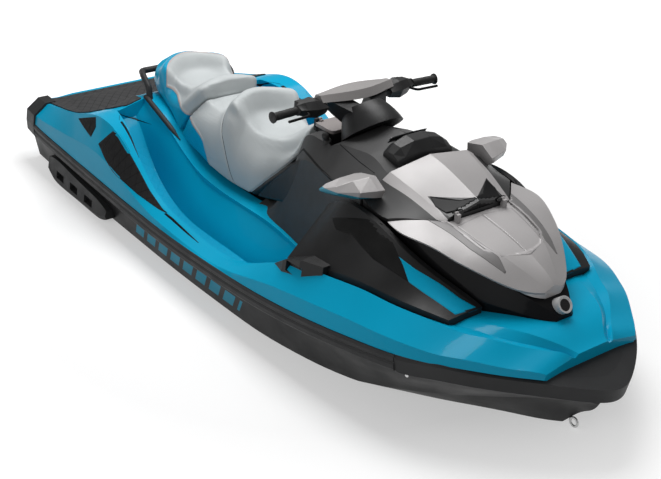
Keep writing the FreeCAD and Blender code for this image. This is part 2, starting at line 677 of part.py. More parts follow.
# Seat lines
seat_top = curve((588, 835), (612, 872), (650, 888), (720, 868), (800, 815), (870, 800), (930, 850),
                 (965, 872),
                 (1010, 850), (1070, 800), (1120, 800), (1180, 860), (1225, 892), (1280, 875), (1360, 800),
                 (1450, 765), (1540, 772), (1640, 825), (1730, 900), (1792, 944))
seat_ridge_y = curve((588, 70), (620, 130), (700, 163), (900, 160), (1010, 150), (1120, 155), (1250, 160),
                     (1400, 150), (1550, 135), (1700, 118), (1792, 92))
seat_ridge_z = curve((588, 825), (612, 858), (660, 870), (740, 862), (850, 810), (930, 800), (1000, 800),
                     (1080, 780),
                     (1150, 800), (1250, 850), (1340, 855), (1440, 800), (1550, 765), (1640, 800), (1730,
                                                                                                    885),
                     (1792, 938))
seat_side_y = curve((588, 100), (640, 180), (720, 206), (900, 212), (1100, 208), (1300, 210), (1500, 200),
                    (1650, 168), (1792, 104))
seat_low = curve((588, 640), (690, 700), (870, 640), (1100, 530), (1190, 490), (1385, 470), (1520, 480),
                 (1590, 530), (1640, 580), (1700, 680), (1760, 808), (1792, 885))
seat_low_y = curve((588, 90), (640, 172), (720, 205), (900, 220), (1100, 222), (1300, 222), (1500, 212),
                   (1600, 176), (1792, 100))


def seat_body():
    def section(x):
        low = seat_low(x)
        mid = low + 0.55 * (seat_ridge_z(x) - low)
        return across(x, [(0, seat_top(x)), (seat_ridge_y(x) * 0.62,
                                             0.45 * seat_top(x) + 0.55 * seat_ridge_z(x)),
                          (seat_ridge_y(x), seat_ridge_z(x)), (seat_side_y(x), mid), (seat_low_y(x), low),
                          (0, low)])
    stations = (588, 612, 650, 720, 790, 860, 930, 990, 1050, 1110, 1170, 1225, 1290, 1360, 1440, 1520, 1600,
                1680,
                1740, 1792)
    return skin([section(x) for x in stations])


def seam_side(ahead):
    """Everything ahead of, or behind, the slanted joint between the seats, clear of it by half the gap."""
    low, high = V(SEAT_SEAM_LOW[0], 0, SEAT_SEAM_LOW[1]), V(SEAT_SEAM_HIGH[0], 0, SEAT_SEAM_HIGH[1])
    along = (high - low).normalize()
    square = V(along.z, 0, -along.x)
    start = low - along * 500
    face = Part.Face(polygon([start + V(0, y, 0) + along * a for y, a in ((-400, 0), (400, 0), (400, 1600),
                                                                             (-400, 1600))]))
    shift = square * (LID_GAP / 2 if ahead else -LID_GAP / 2)
    face.translate(shift)
    return face.extrude(square * (1800 if ahead else -1800))


def seats():
    body = seat_body().cut(raised(deck_form())).cut(raised(console(), SEAT_GAP))
    return largest(body.common(seam_side(True))), largest(body.common(seam_side(False)))


def neck():
    """The turning cover: it grows from the seam up to the pad over the bars."""
    def ring(up, ahead, half_x, half_y):
        turn = FreeCAD.Rotation(V(0, 0, 1), AXIS)
        points = []
        for k in range(12):
            a = 2 * math.pi * k / 12
            flat = V(ahead + half_x * math.cos(a), half_y * math.sin(a), up)
            points.append(COLUMN + turn.multVec(flat))
        spline = Part.BSplineCurve()
        spline.interpolate(points, PeriodicFlag=True)
        return Part.Wire(spline.toShape())
    body = skin([ring(LID_GAP, 20, 140, 130), ring(60, 20, 118, 108), ring(NECK_TOP, 12, 88, 84)])
    for side in (1, -1):
        arm = arm_solid(side)
        body = body.fuse(arm)
    bar = rod(V(BAR_MIDDLE.x, -300, BAR_MIDDLE.z), V(BAR_MIDDLE.x, 300, BAR_MIDDLE.z), BAR_R + GAP)
    spigot = rod(COLUMN - AXIS * SPIGOT_LENGTH, COLUMN + AXIS * 2 * LID_GAP, SPIGOT_R)
    return largest(body.cut(bar).fuse(spigot).removeSplitter())


def arm_solid(side):
    """One of the two arms that rise from the neck to the bar, with a gap between them under the pad."""
    turn = FreeCAD.Rotation(V(0, 0, 1), AXIS)
    def level(up, back, ahead, y0, y1):
        flat = [V(back, y0, up), V(ahead, y0, up), V(ahead - 8, y1, up), V(back + 8, y1, up)]
        return polygon([COLUMN + turn.multVec(V(v.x, side * v.y, v.z)) for v in flat])
    return skin([level(NECK_TOP - 30, -52, 70, 14, 80), level(NECK_TOP + 22, -46, 44, 44, 122),
                 level(ARM_TOP, -30, 30, 82, 158)])


def pad():
    """The padded cover between the grips."""
    def section(y, x0, x1, z0, z1):
        return polygon([V(x0, y, z0), V(x0 + 12, y, z1), (V(x1 - 20, y, z1 + 4)), V(x1, y, z0 + 4)])
    wires = [section(y, 1895 + abs(y) * 0.12, 2030 - abs(y) * 0.28, 1092, 1125 - abs(y) * 0.05)
             for y in (-182, -120, -50, 50, 120, 182)]
    solid = skin(wires)
    cover = neck()
    cover.translate(AXIS * GAP)
    bar = rod(V(BAR_MIDDLE.x, -200, BAR_MIDDLE.z), V(BAR_MIDDLE.x, 200, BAR_MIDDLE.z), BAR_R + GAP)
    return largest(solid.cut(neck()).cut(cover).cut(bar))


def handlebar():
    """One tube bent back at each end, clamped in the neck."""
    side = bent_tube([V(BAR_MIDDLE.x, 0, BAR_MIDDLE.z), BAR_MIDDLE, GRIP_END - bar_way() * 6], BAR_R, 90)
    return side.fuse(mirror(side)).removeSplitter()


def bar_way():
    """The direction of the port bar end."""
    return (GRIP_END - BAR_MIDDLE).normalize()


def grip(side):
    way = bar_way()
    start = GRIP_END - way * GRIP_LENGTH
    body = rod(start, GRIP_END, GRIP_R)
    flange = rod(GRIP_END - way * 6, GRIP_END, GRIP_R + 7)
    hole = rod(start - way * 10, GRIP_END - way * 5.5, BAR_R + GAP)
    solid = body.fuse(flange).cut(hole).removeSplitter()
    return solid if side > 0 else mirror(solid)


def pod_form(spare=0.0):
    """The switch housing's outside: six-sided sections along the bar, deepest beside the neck."""
    def section(y, back, front, low, high):
        x0, x1, z0, z1 = back - spare, front + spare, low - spare, high + spare
        middle = (z0 + z1) / 2
        return polygon([V(x0, y, middle), V(x0 + 14, y, z1), V(x1 - 26, y, z1), V(x1, y, middle + 6),
                        V(x1 - 20, y, z0), V(x0 + 20, y, z0)])
    return skin([section(*numbers) for numbers in POD_SECTIONS], True)


def switch_pod(side):
    """The faceted switch housing inboard of a grip, with a raised block for the buttons."""
    block = box(1902, 1950, 228, 268, 1064, 1100)
    pod = pod_form().fuse(block.makeFillet(5, block.Edges))
    way = bar_way()
    pod = pod.cut(rod(BAR_MIDDLE + way * 8, GRIP_END - way * (GRIP_LENGTH - 10), BAR_R + GAP))
    pod = largest(pod.cut(pad()).cut(neck()).removeSplitter())
    return pod if side > 0 else mirror(pod)


def lever(side):
    """The lever ahead of the grip, on a stub from the switch housing."""
    way = bar_way()
    root = GRIP_END - way * (GRIP_LENGTH + 30)
    points = [root + V(22, 0, -4), root + V(62, 12, -6), root + V(62, 12, -6) + way * 105]
    solid = largest(bent_tube(points, 5.5, 22).cut(pod_form(GAP)))
    return solid if side > 0 else mirror(solid)


def mirror_pod(side):
    """A mirror housing on its foot beside the deflector, pointed at its outer end."""
    def section(y, x0, x1, z0, z1):
        return polygon([V(x0, y, (z0 + z1) / 2), V((x0 * 2 + x1) / 3, y, z1), V(x1 - 14, y, z1 - 10),
                        V(x1, y, (z0 + z1) / 2), V(x1 - 14, y, z0 + 6), V((x0 * 2 + x1) / 3, y, z0)])
    wires = [section(272, 2362, 2478, 895, 968), section(320, 2348, 2490, 884, 978),
             section(380, 2336, 2462, 890, 972), section(430, 2330, 2408, 902, 952),
             section(462, 2326, 2350, 918, 934)]
    solid = skin(wires).cut(raised(storage_lid())).cut(storage_lid())
    solid = largest(solid.cut(raised(console(), LID_GAP)))
    return solid if side > 0 else mirror(solid)


def engine():
    x0 = ENGINE_X
    half = ENGINE[1] / 2
    block = box(x0, x0 + ENGINE[0], -half, half, BAY_FLOOR, BAY_FLOOR + ENGINE[2])
    return block.makeFillet(12, block.Edges)


def pump():
    """The fixed pump: a ring round the impeller with its stator vanes, boss and tapered outlet, the fork
    that holds the nozzle's pins and the lugs that hold the reverse gate's."""
    back, front = V(PUMP_BACK, 0, SHAFT_Z), V(PUMP_FRONT, 0, SHAFT_Z)
    ahead = V(1, 0, 0)
    ring = rod(back, front, PUMP_R).fuse(rod(front - ahead * 14, front, TUNNEL_R - GAP))
    taper = PUMP_BACK - CONE_BACK
    ring = ring.fuse(Part.makeCone(CONE_R, PUMP_R - 8, taper, V(CONE_BACK, 0, SHAFT_Z), ahead))
    ring = ring.cut(rod(back, front + ahead * 5, PUMP_BORE))
    bore = Part.makeCone(CONE_R - CONE_WALL, PUMP_BORE, taper, V(CONE_BACK, 0, SHAFT_Z), ahead)
    solid = ring.cut(bore)
    hub = Part.makeCone(HUB_R * 0.3, HUB_R, 70, V(PUMP_BACK - 14, 0, SHAFT_Z), ahead)
    for k in range(STATORS):
        vane = box(PUMP_BACK + 6, PUMP_BACK + 52, -2.5, 2.5, HUB_R * 0.4, PUMP_BORE + 4)
        vane.translate(V(0, 0, SHAFT_Z))
        vane.rotate(V(0, 0, SHAFT_Z), ahead, 360 * k / STATORS)
        hub = hub.fuse(vane)
    solid = solid.fuse(hub)
    for up in (1, -1):
        z0, z1 = sorted((SHAFT_Z + up * FORK_IN, SHAFT_Z + up * FORK_OUT))
        fork = box(NOZZLE_PIVOT_X - 14, PUMP_BACK + 20, -13, 13, z0, z1)
        pin = rod(V(NOZZLE_PIVOT_X, 0, SHAFT_Z + up * (NOZZLE_R + 12)),
                  V(NOZZLE_PIVOT_X, 0, SHAFT_Z + up * FORK_OUT), PIN_R)
        solid = solid.fuse(fork).fuse(pin)
    for side in (1, -1):
        y0, y1 = sorted((side * (GATE_HALF - 26), side * (GATE_HALF - 9)))
        lug = box(GATE_PIVOT.x - 12, PUMP_BACK + 20, y0, y1, SHAFT_Z - 12, SHAFT_Z + 12)
        pin = rod(V(GATE_PIVOT.x, side * (GATE_HALF - 16), SHAFT_Z),
                  V(GATE_PIVOT.x, side * GATE_HALF, SHAFT_Z), PIN_R)
        solid = solid.fuse(lug).fuse(pin)
    return solid.removeSplitter()


def impeller():
    """The impeller and its drive shaft: blades with a helical twist round a tapered hub."""
    x0, x1 = PUMP_BACK + 58, PUMP_FRONT - 10
    hub = Part.makeCone(HUB_R, HUB_R * 0.62, x1 - x0, V(x0, 0, SHAFT_Z), V(1, 0, 0))
    shaft = rod(V(x1 - 5, 0, SHAFT_Z), V(ENGINE_X - GAP, 0, SHAFT_Z), SHAFT_R)
    solid = hub.fuse(shaft)
    wires = []
    steps = 7
    for k in range(steps):
        x = x0 + 5 + (x1 - x0 - 14) * k / (steps - 1)
        a = math.radians(100.0 * k / (steps - 1))
        way, side = V(0, -math.sin(a), math.cos(a)), V(0, math.cos(a), math.sin(a))
        base = V(x, 0, SHAFT_Z)
        wires.append(polygon([base + way * 12 - side * 4, base + way * IMPELLER_R - side * 1.8,
                              base + way * IMPELLER_R + side * 1.8, base + way * 12 + side * 4]))
    blade = skin(wires)
    for k in range(BLADES):
        turned = blade.copy()
        turned.rotate(V(0, 0, SHAFT_Z), V(1, 0, 0), 360 * k / BLADES)
        solid = solid.fuse(turned)
    return solid.removeSplitter()


def nozzle():
    """The steering nozzle: a tapered tube with a boss over each upright pin."""
    front_r, back_r = NOZZLE_R + 14, NOZZLE_R - 14
    x0, x1 = NOZZLE_BACK, NOZZLE_PIVOT_X + NOZZLE_AHEAD
    ahead = V(1, 0, 0)
    solid = Part.makeCone(back_r, front_r, x1 - x0, V(x0, 0, SHAFT_Z), ahead)
    boss_top = FORK_IN - LID_GAP
    solid = solid.fuse(rod(V(NOZZLE_PIVOT_X, 0, SHAFT_Z - boss_top),
                           V(NOZZLE_PIVOT_X, 0, SHAFT_Z + boss_top), 14))
    bore = Part.makeCone(back_r - NOZZLE_WALL, front_r - NOZZLE_WALL, x1 - x0, V(x0, 0, SHAFT_Z), ahead)
    hole = rod(V(NOZZLE_PIVOT_X, 0, SHAFT_Z - 120), V(NOZZLE_PIVOT_X, 0, SHAFT_Z + 120), PIN_R + GAP)
    end = rod(V(x1 - 0.01, 0, SHAFT_Z), V(x1 + 20, 0, SHAFT_Z), front_r - NOZZLE_WALL)
    return solid.cut(bore).cut(hole).cut(end).removeSplitter()


def reverse_gate():
    """A curved gate on two side arms that swings down behind the nozzle, shown lifted."""
    x, z = GATE_PIVOT.x, GATE_PIVOT.z
    def drum(half, radius):
        return rod(V(x, -half, z), V(x, half, z), radius)
    def sector(low, high, reach):
        """A wedge round the pivot between two angles above the backward direction."""
        points = [V(x, -300, z)]
        for k in range(5):
            a = math.radians(low + (high - low) * k / 4)
            points.append(V(x - reach * math.cos(a), -300, z + reach * math.sin(a)))
        return Part.Face(polygon(points)).extrude(V(0, 600, 0))
    shell = drum(GATE_HALF, GATE_R).cut(drum(GATE_HALF + 5, GATE_R - GATE_WALL)).common(sector(*GATE_SPAN,
                                                                                               300))
    arms = drum(GATE_HALF, GATE_R).cut(drum(GATE_HALF - GATE_WALL, GATE_R + 5))
    arms = arms.common(sector(GATE_SPAN[0], GATE_SPAN[1], 300))
    boss = drum(GATE_HALF, 15).cut(drum(GATE_HALF - GATE_WALL, 20))
    solid = shell.fuse(arms).fuse(boss).cut(drum(GATE_HALF + 5, PIN_R + GAP))
    return largest(solid.removeSplitter())


def ride_plate():
    """The flat plate under the pump that closes the tunnel behind the intake."""
    plate = box(STERN_SPACE + 4, GRATE_START - 8, -RIDE_HALF, RIDE_HALF, KEEL_FLAT - 12, KEEL_FLAT - GAP)
    return plate.makeFillet(3, plate.Edges)


def intake_grate():
    """Bars along the intake mouth on two cross rails."""
    low, high = KEEL_FLAT - 11, KEEL_FLAT - GAP
    solid = box(GRATE_START, GRATE_START + 20, -RIDE_HALF, RIDE_HALF, low, high)
    solid = solid.fuse(box(GRATE_END - 20, GRATE_END, -RIDE_HALF, RIDE_HALF, low, high))
    for k in range(GRATE_BARS):
        y = RIDE_HALF * (2 * (k + 0.5) / GRATE_BARS - 1)
        solid = solid.fuse(box(GRATE_START, GRATE_END, y - 4, y + 4, low, high))
    return solid.removeSplitter()


def cleat(side):
    """The mooring cleat on the shoulder ahead of the footwell: a dark block with a bar across its recess."""
    def section(x, y0, y1, z0, z1):
        return one_side(x, [(y0, z0), (y1, z0), (y1 + 4, z0 + 12), (y1 - 8, z1), (y0, z1)], side)
    solid = skin([section(2150, 420, 545, 480, 560), section(2240, 420, 560, 520, 622),
                  section(2340, 420, 552, 560, 664), section(2440, 420, 520, 580, 668)], True)
    y0, y1 = sorted((side * 505, side * 600))
    recess = box(2262, 2352, y0, y1, 590, 632)
    bar = box(2262, 2352, *sorted((side * 522, side * 534)), 605, 617)
    solid = solid.cut(recess).fuse(bar.common(box(2250, 2360, *sorted((side * 400, side * 548)), 500, 700)))
    solid = solid.cut(raised(deck_form())).cut(side_panel(side)).cut(raised(side_panel(side), -GAP))
    return largest(solid.removeSplitter())


def nose_badge():
    """A bare round disc with a raised rim, on a boss at the tip of the front cowl."""
    way = V(math.cos(math.radians(38)), 0, math.sin(math.radians(38)))
    disc = rod(BADGE - way * 70, BADGE, BADGE_R).cut(rod(BADGE - way * 2.5, BADGE + way * 5, BADGE_R - 5))
    return largest(disc.cut(raised(cowl())).cut(raised(hood(), -GAP)).cut(raised(deck_form())))


def stern_eyes():
    """Two tow eyes on the transom, each a steel loop on a foot plate."""
    loops = []
    for side in (1, -1):
        y = side * STERN_EYE_Y
        loop = Part.makeTorus(20, 5, V(HULL_BACK - 4, y, STERN_EYE_Z), V(0, 1, 0))
        loop = loop.common(box(-60, HULL_BACK - GAP, y - 20, y + 20, STERN_EYE_Z - 60, STERN_EYE_Z + 60))
        foot = box(HULL_BACK - 4, HULL_BACK - GAP, y - 12, y + 12, STERN_EYE_Z - 32, STERN_EYE_Z + 32)
        loops.append(loop.fuse(foot).removeSplitter())
    return Part.makeCompound(loops)


def sponson(side):
    """The bolt-on side fin near the chine, with three slots through it."""
    def section(x, low, high):
        y = chine_y(x)
        return one_side(x, [(y - 10, high), (y + 52, high), (y + 62, low + 20), (y + 54, low),
                            (y - 30, low)], side)
    body = skin([section(276, 262, 340), section(330, 232, 352), section(560, 226, 344),
                 section(780, 230, 330),
                 section(915, 258, 300)])
    near = hull_form().copy()
    near.translate(V(0, side * GAP, 0))
    body = body.cut(near)
    for x in (372, 530, 690):
        y0, y1 = sorted((side * (chine_y(x) + 34), side * 700))
        body = body.cut(box(x, x + 84, y0, y1, 262, 300))
    return largest(body)


def grab_handle():
    """The passengers' rail: across behind the seat, down beside it and forward along its foot."""
    points = [V(558, 0, 800), V(558, 188, 801), V(642, 226, 808), V(700, 232, 768), V(716, 236, 704),
              V(800, 240, 690), V(1000, 246, 632), V(1024, 246, 550)]
    side = bent_tube(points, HANDLE_R, 30)
    return largest(side.fuse(mirror(side)).cut(raised(deck_form())).removeSplitter())


def footwell_mat(side):
    """The ribbed traction mat on a footwell's floor."""
    well = footwell(side)
    layer = raised(well, GAP).cut(raised(well, MAT))
    stations = (820, 900, 1200, 1500, 1800, 2050, 2170)
    inner = [V(x, side * (well_foot(x) + 10), 0) for x in stations]
    outer = [V(x, side * (well_wall(x) - 26), 0) for x in reversed(stations)]
    return largest(layer.common(Part.Face(polygon(inner + outer)).extrude(V(0, 0, 560))))


def platform_mat():
    """The traction mat over the whole stern platform, and a smaller one each side between seat and ridge."""
    layer = raised(deck_form(), MAT + GAP).cut(raised(deck_form()))
    for side in (1, -1):
        layer = layer.cut(stern_bumper(side, BUMPER_GAP)).cut(footwell(side))
    outer = [V(x, y, 400) for x, y in PLATFORM_EDGE]
    main = polygon(outer + [V(v.x, -v.y, v.z) for v in reversed(outer)])
    pieces = [layer.common(Part.Face(main).extrude(V(0, 0, 500)))]
    for side in (1, -1):
        patch = polygon([V(x, side * y, 400) for x, y in PATCH_EDGE])
        pieces.append(layer.common(Part.Face(patch).extrude(V(0, 0, 500))))
    return Part.makeCompound([largest(piece.removeSplitter()) for piece in pieces])


def boarding_step():
    """A fold-down step: a U of tube on two eyes behind the transom, shown folded up."""
    x, z = STEP_HINGE.x, STEP_HINGE.z
    top, foot = z + STEP_HEIGHT, z + STEP_EYE_R - 3
    corners = [V(x, -STEP_HALF, foot), V(x, -STEP_HALF, top), V(x, STEP_HALF, top), V(x, STEP_HALF, foot)]
    step = bent_tube(corners, STEP_R, 40)
    for side in (1, -1):
        y0, y1 = sorted((side * (STEP_HALF - STEP_R - 1), side * (STEP_HALF + STEP_R + 1)))
        step = step.fuse(barrel(STEP_HINGE, y0, y1, STEP_EYE_R))
    return step.cut(barrel(STEP_HINGE, -2 * STEP_HALF, 2 * STEP_HALF, PIN_R + GAP))


def step_brackets():
    """Two brackets on the transom, each a plate with two cheeks and the pin between them."""
    x, z = STEP_HINGE.x, STEP_HINGE.z
    inner, outer = STEP_HALF - STEP_R - 2, STEP_HALF + STEP_R + 2
    part = box(DECK_BACK - 6, DECK_BACK - GAP, inner - 4, outer + 4, z - 24, z + 24)
    for y in (inner - 4, outer):
        part = part.fuse(box(x - 10, DECK_BACK - 5, y, y + 4, z - 12, z + 12))
    part = part.fuse(barrel(STEP_HINGE, inner - 4, outer + 4, PIN_R)).removeSplitter()
    return both(part)


def bow_eye():
    """The towing eye, a steel loop on the stem."""
    ring = Part.makeTorus(17, 5, V(3276, 0, 262), V(0, 1, 0))
    near = hull_form().copy()
    near.translate(V(GAP, 0, -GAP))
    return largest(ring.cut(near))


def write(name, shape):
    moved = shape.copy()
    moved.translate(V(-LENGTH / 2, 0, -DRAFT))
    moved.exportStep(f"{PARTS}/{name}.step")
    return moved


def main():
    os.makedirs(PARTS, exist_ok=True)
    front, rear = seats()
    pieces = {
        "hull": hull(), "deck": deck(), "bow_bumper": bow_bumper(), "seat_front": front, "seat_rear": rear,
        "console": console(), "glovebox": glovebox(), "glovebox_lid": glovebox_lid(), "cowl": cowl(),
        "storage_bin": storage_bin(), "storage_lid": storage_lid(), "hood": hood(), "neck_cover": neck(),
        "steering_pad": pad(), "handlebar": handlebar(), "engine": engine(), "pump": pump(),
        "impeller": impeller(), "nozzle": nozzle(), "reverse_gate": reverse_gate(),
        "ride_plate": ride_plate(),
        "intake_grate": intake_grate(), "grab_handle": grab_handle(), "platform_mat": platform_mat(),
        "boarding_step": boarding_step(), "step_brackets": step_brackets(), "bow_eye": bow_eye(),
        "gauge_housing": gauge_housing(), "nose_badge": nose_badge(), "stern_eyes": stern_eyes(),
    }
    for name, side in (("port", 1), ("starboard", -1)):
        pieces[f"rub_rail_{name}"] = rail(side)
        pieces[f"stern_bumper_{name}"] = stern_bumper(side)
        pieces[f"side_panel_{name}"] = side_panel(side)
        pieces[f"sponson_{name}"] = sponson(side)
        pieces[f"cleat_{name}"] = cleat(side)
        pieces[f"footwell_mat_{name}"] = footwell_mat(side)
        pieces[f"grip_{name}"] = grip(side)
        pieces[f"switch_pod_{name}"] = switch_pod(side)
        pieces[f"lever_{name}"] = lever(side)
        pieces[f"mirror_{name}"] = mirror_pod(side)
    for name, shape in pieces.items():
        write(name, shape)
        print(name, len(shape.Solids), round(shape.Volume / 1e6, 2), shape.isValid())


if __name__ == "__main__":
    main()
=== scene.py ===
"""The look of the personal watercraft: finishes for its CAD nodes, padded seats, grips, mirrors and trim.

Shapes are drawn in millimetres in the drawing's own frame, X forward from the transom, Y to port and Z up
from the keel, until place() turns them into the frame's metres. Finishes, camera and lamps are in metres.
"""

import math

import bmesh
import bpy
import numpy as np
from mathutils import Matrix


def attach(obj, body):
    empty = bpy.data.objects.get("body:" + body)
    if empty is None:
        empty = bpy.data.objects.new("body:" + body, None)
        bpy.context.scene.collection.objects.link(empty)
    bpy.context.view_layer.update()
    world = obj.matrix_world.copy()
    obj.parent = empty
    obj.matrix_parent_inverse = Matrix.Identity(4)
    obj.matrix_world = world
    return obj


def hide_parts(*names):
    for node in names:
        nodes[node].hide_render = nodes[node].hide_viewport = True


LENGTH, DRAFT = 3451.0, 235.0
SIDES = ((-1, "starboard"), (1, "port"))
# Radius that closes a turned shape's end
POINT = 0.01

# The photograph's camera, about a point given in metres from the transom and the keel
IMAGE = (661, 479)
AZIMUTH, ELEVATION, ROLL = 0.895486, 0.472081, 0.042587
DISTANCE, FOCAL = 5.33106, 1246.7
TARGET = (1.899986, -0.051995, 0.423335)

BLUE = (0.001, 0.31, 0.505)
DEEP_BLUE = (0.0, 0.15, 0.22)
BAR_BLUE = (0.0, 0.22, 0.34)
HULL_BLACK = (0.014, 0.0143, 0.015)
CHARCOAL = (0.024, 0.0245, 0.0255)
DARK = (0.012, 0.012, 0.0125)
STITCH = (0.03, 0.03, 0.032)
FOAM = (0.05, 0.05, 0.051)
SILVER = (0.34, 0.327, 0.327)
RING_SILVER = (0.62, 0.62, 0.62)
VINYL = (0.42, 0.445, 0.45)
PIPING = (0.44, 0.37, 0.35)

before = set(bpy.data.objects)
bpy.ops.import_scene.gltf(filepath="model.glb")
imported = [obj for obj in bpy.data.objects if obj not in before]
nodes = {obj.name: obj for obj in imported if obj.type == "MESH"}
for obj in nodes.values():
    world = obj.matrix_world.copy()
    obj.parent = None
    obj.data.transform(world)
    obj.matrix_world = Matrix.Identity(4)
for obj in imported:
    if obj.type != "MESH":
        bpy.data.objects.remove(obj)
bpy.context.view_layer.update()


# Shapes from arrays

def place(points):
    """Drawing millimetres to the frame's metres: the origin moves amidships and up to the waterline."""
    return (np.asarray(points, float) - (LENGTH / 2, 0, DRAFT)) / 1000


def curve(*knots):
    """A smooth function through (x, value) knots: a cubic between each two, without overshoot."""
    xs, vs = np.array(knots, float).T
    run = np.diff(vs) / np.diff(xs)
    product = run[:-1] * run[1:]
    total = np.where(np.abs(run[:-1] + run[1:]) > 1e-9, run[:-1] + run[1:], 1)
    slope = np.concatenate([run[:1], np.where(product > 0, 2 * product / total, 0), run[-1:]])

    def value(x):
        x = np.clip(x, xs[0], xs[-1])
        i = np.clip(np.searchsorted(xs, x, side="right") - 1, 0, len(xs) - 2)
        h = xs[i + 1] - xs[i]
        t = (x - xs[i]) / h
        ends = (1 + 2 * t) * (1 - t) ** 2 * vs[i] + t * t * (3 - 2 * t) * vs[i + 1]
        return ends + h * t * (1 - t) * ((1 - t) * slope[i] - t * slope[i + 1])

    return value


def smooth(a, b, x):
    """0 below a, 1 above b, and an S between: 3 t squared less 2 t cubed."""
    t = np.clip((x - a) / (b - a), 0, 1)
    return t * t * (3 - 2 * t)


def quads(rows, columns, round_rows=False, round_columns=False):
    """The four corners of every cell of a grid of points numbered row by row."""
    i = np.arange(rows if round_rows else rows - 1)[:, None]
    j = np.arange(columns if round_columns else columns - 1)[None]
    a, b = i * columns + j, i * columns + (j + 1) % columns
    c, d = ((i + 1) % rows) * columns + (j + 1) % columns, ((i + 1) % rows) * columns + j
    return np.stack([a, b, c, d], -1).reshape(-1, 4)


def mesh_object(name, points, faces, finish, shade=True):
    """An object at the origin whose mesh holds the points, in metres, and the faces."""
    mesh = bpy.data.meshes.new(name)
    mesh.from_pydata(points.reshape(-1, 3).tolist(), [], [list(f) for f in faces])
    mesh.validate()
    obj = bpy.data.objects.new(name, mesh)
    bpy.context.scene.collection.objects.link(obj)
    obj.data.materials.append(finish)
    if shade:
        mesh.polygons.foreach_set("use_smooth", np.ones(len(mesh.polygons), bool))
    return obj


def tube(name, sections, finish, body=None):
    """A closed skin over rings: sections is (rings, points, 3) in millimetres, with a face at each end."""
    rings, count = sections.shape[:2]
    ends = [np.arange(count)[::-1], np.arange(count) + (rings - 1) * count]
    obj = mesh_object(name, place(sections), list(quads(rings, count, False, True)) + ends, finish)
    outward(obj)
    if body:
        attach(obj, body)
    return obj


def outward(obj):
    """Joins a closed mesh's doubled points and turns its faces outwards."""
    work = bmesh.new()
    work.from_mesh(obj.data)
    bmesh.ops.remove_doubles(work, verts=work.verts, dist=1e-6)
    bmesh.ops.recalc_face_normals(work, faces=work.faces)
    work.to_mesh(obj.data)
    work.free()


def turned(start, way, profile, around=32):
    """A turned shape: each (distance along, radius) of the profile becomes a ring square to the way."""
    way = np.asarray(way, float) / np.linalg.norm(way)
    side = np.cross(way, (0, 0, 1) if abs(way[2]) < 0.9 else (1, 0, 0))
    side /= np.linalg.norm(side)
    up = np.cross(way, side)
    a = np.linspace(0, 2 * np.pi, around, endpoint=False)
    ring = np.cos(a)[:, None] * side + np.sin(a)[:, None] * up
    along, radius = np.array(profile, float).T
    return np.asarray(start, float) + along[:, None, None] * way + radius[:, None, None] * ring[None]


def bevel(obj, width):
    """Rounds the edges of an object that are sharper than 40 degrees, by a width in metres."""
    step = obj.modifiers.new("edges", "BEVEL")
    step.width, step.segments, step.limit_method = width, 2, "ANGLE"
    step.angle_limit = math.radians(40)


def thicken(obj, wall, offset=-1.0):
    """Gives a sheet a wall, in metres: outwards at offset 1, to both sides at 0 and inwards at -1."""
    step = obj.modifiers.new("thickness", "SOLIDIFY")
    step.thickness, step.offset = wall, offset


def flat_shaded(obj):
    """Shows an object's facets as flat."""
    obj.data.polygons.foreach_set("use_smooth", np.zeros(len(obj.data.polygons), bool))


def swept(path, width, height, around=20):
    """Rings along a path: P(t, a) = c(t) + w(t) cos(a) side(t) + h(t) sin(a) up(t), where side is level and
    square to the path."""
    way = np.gradient(path, axis=0)
    way /= np.linalg.norm(way, axis=1, keepdims=True)
    side = np.cross(way, (0, 0, 1))
    side /= np.linalg.norm(side, axis=1, keepdims=True)
    up = np.cross(side, way)
    a = np.linspace(0, 2 * np.pi, around, endpoint=False)[None, :, None]
    return (path[:, None] + width[:, None, None] * np.cos(a) * side[:, None]
            + height[:, None, None] * np.sin(a) * up[:, None])


def along(points, share):
    """Points at those shares of a polyline's length, straight between its corners."""
    points = np.array(points, float)
    reach = np.concatenate([[0], np.cumsum(np.linalg.norm(np.diff(points, axis=0), axis=1))])
    return np.stack([np.interp(share * reach[-1], reach, points[:, k]) for k in range(3)], -1)


def laid(name, low, high, target, finish, body, side, thick, lift=0.6, steps=(40, 12)):
    """A thin piece on a CAD face: the patch P(u, v) = (1 - v) low(u) + v high(u) between two edge lines,
    drawn to the face's nearest points where it has a target, and given a thickness outwards. A side of -1 is
    starboard and 1 is port."""
    u, v = np.linspace(0, 1, steps[0]), np.linspace(0, 1, steps[1])[None, :, None]
    low, high = (np.array(edge, float) * (1, side, 1) for edge in (low, high))
    points = (1 - v) * along(low, u)[:, None] + v * along(high, u)[:, None]
    faces = quads(*steps)
    if side > 0:
        faces = faces[:, ::-1]
    obj = mesh_object(name, place(points), faces, finish)
    if target:
        wrap = obj.modifiers.new("on the face", "SHRINKWRAP")
        wrap.target, wrap.wrap_method = nodes[target], "NEAREST_SURFACEPOINT"
        wrap.wrap_mode, wrap.offset = "ABOVE_SURFACE", lift / 1000
        settle(obj)
    thicken(obj, thick / 1000, 1)
    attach(obj, body)


def settle(obj):
    """Applies an object's modifiers to its mesh."""
    seen = bpy.context.evaluated_depsgraph_get()
    mesh = bpy.data.meshes.new_from_object(obj.evaluated_get(seen))
    obj.modifiers.clear()
    obj.data = mesh


# Finishes

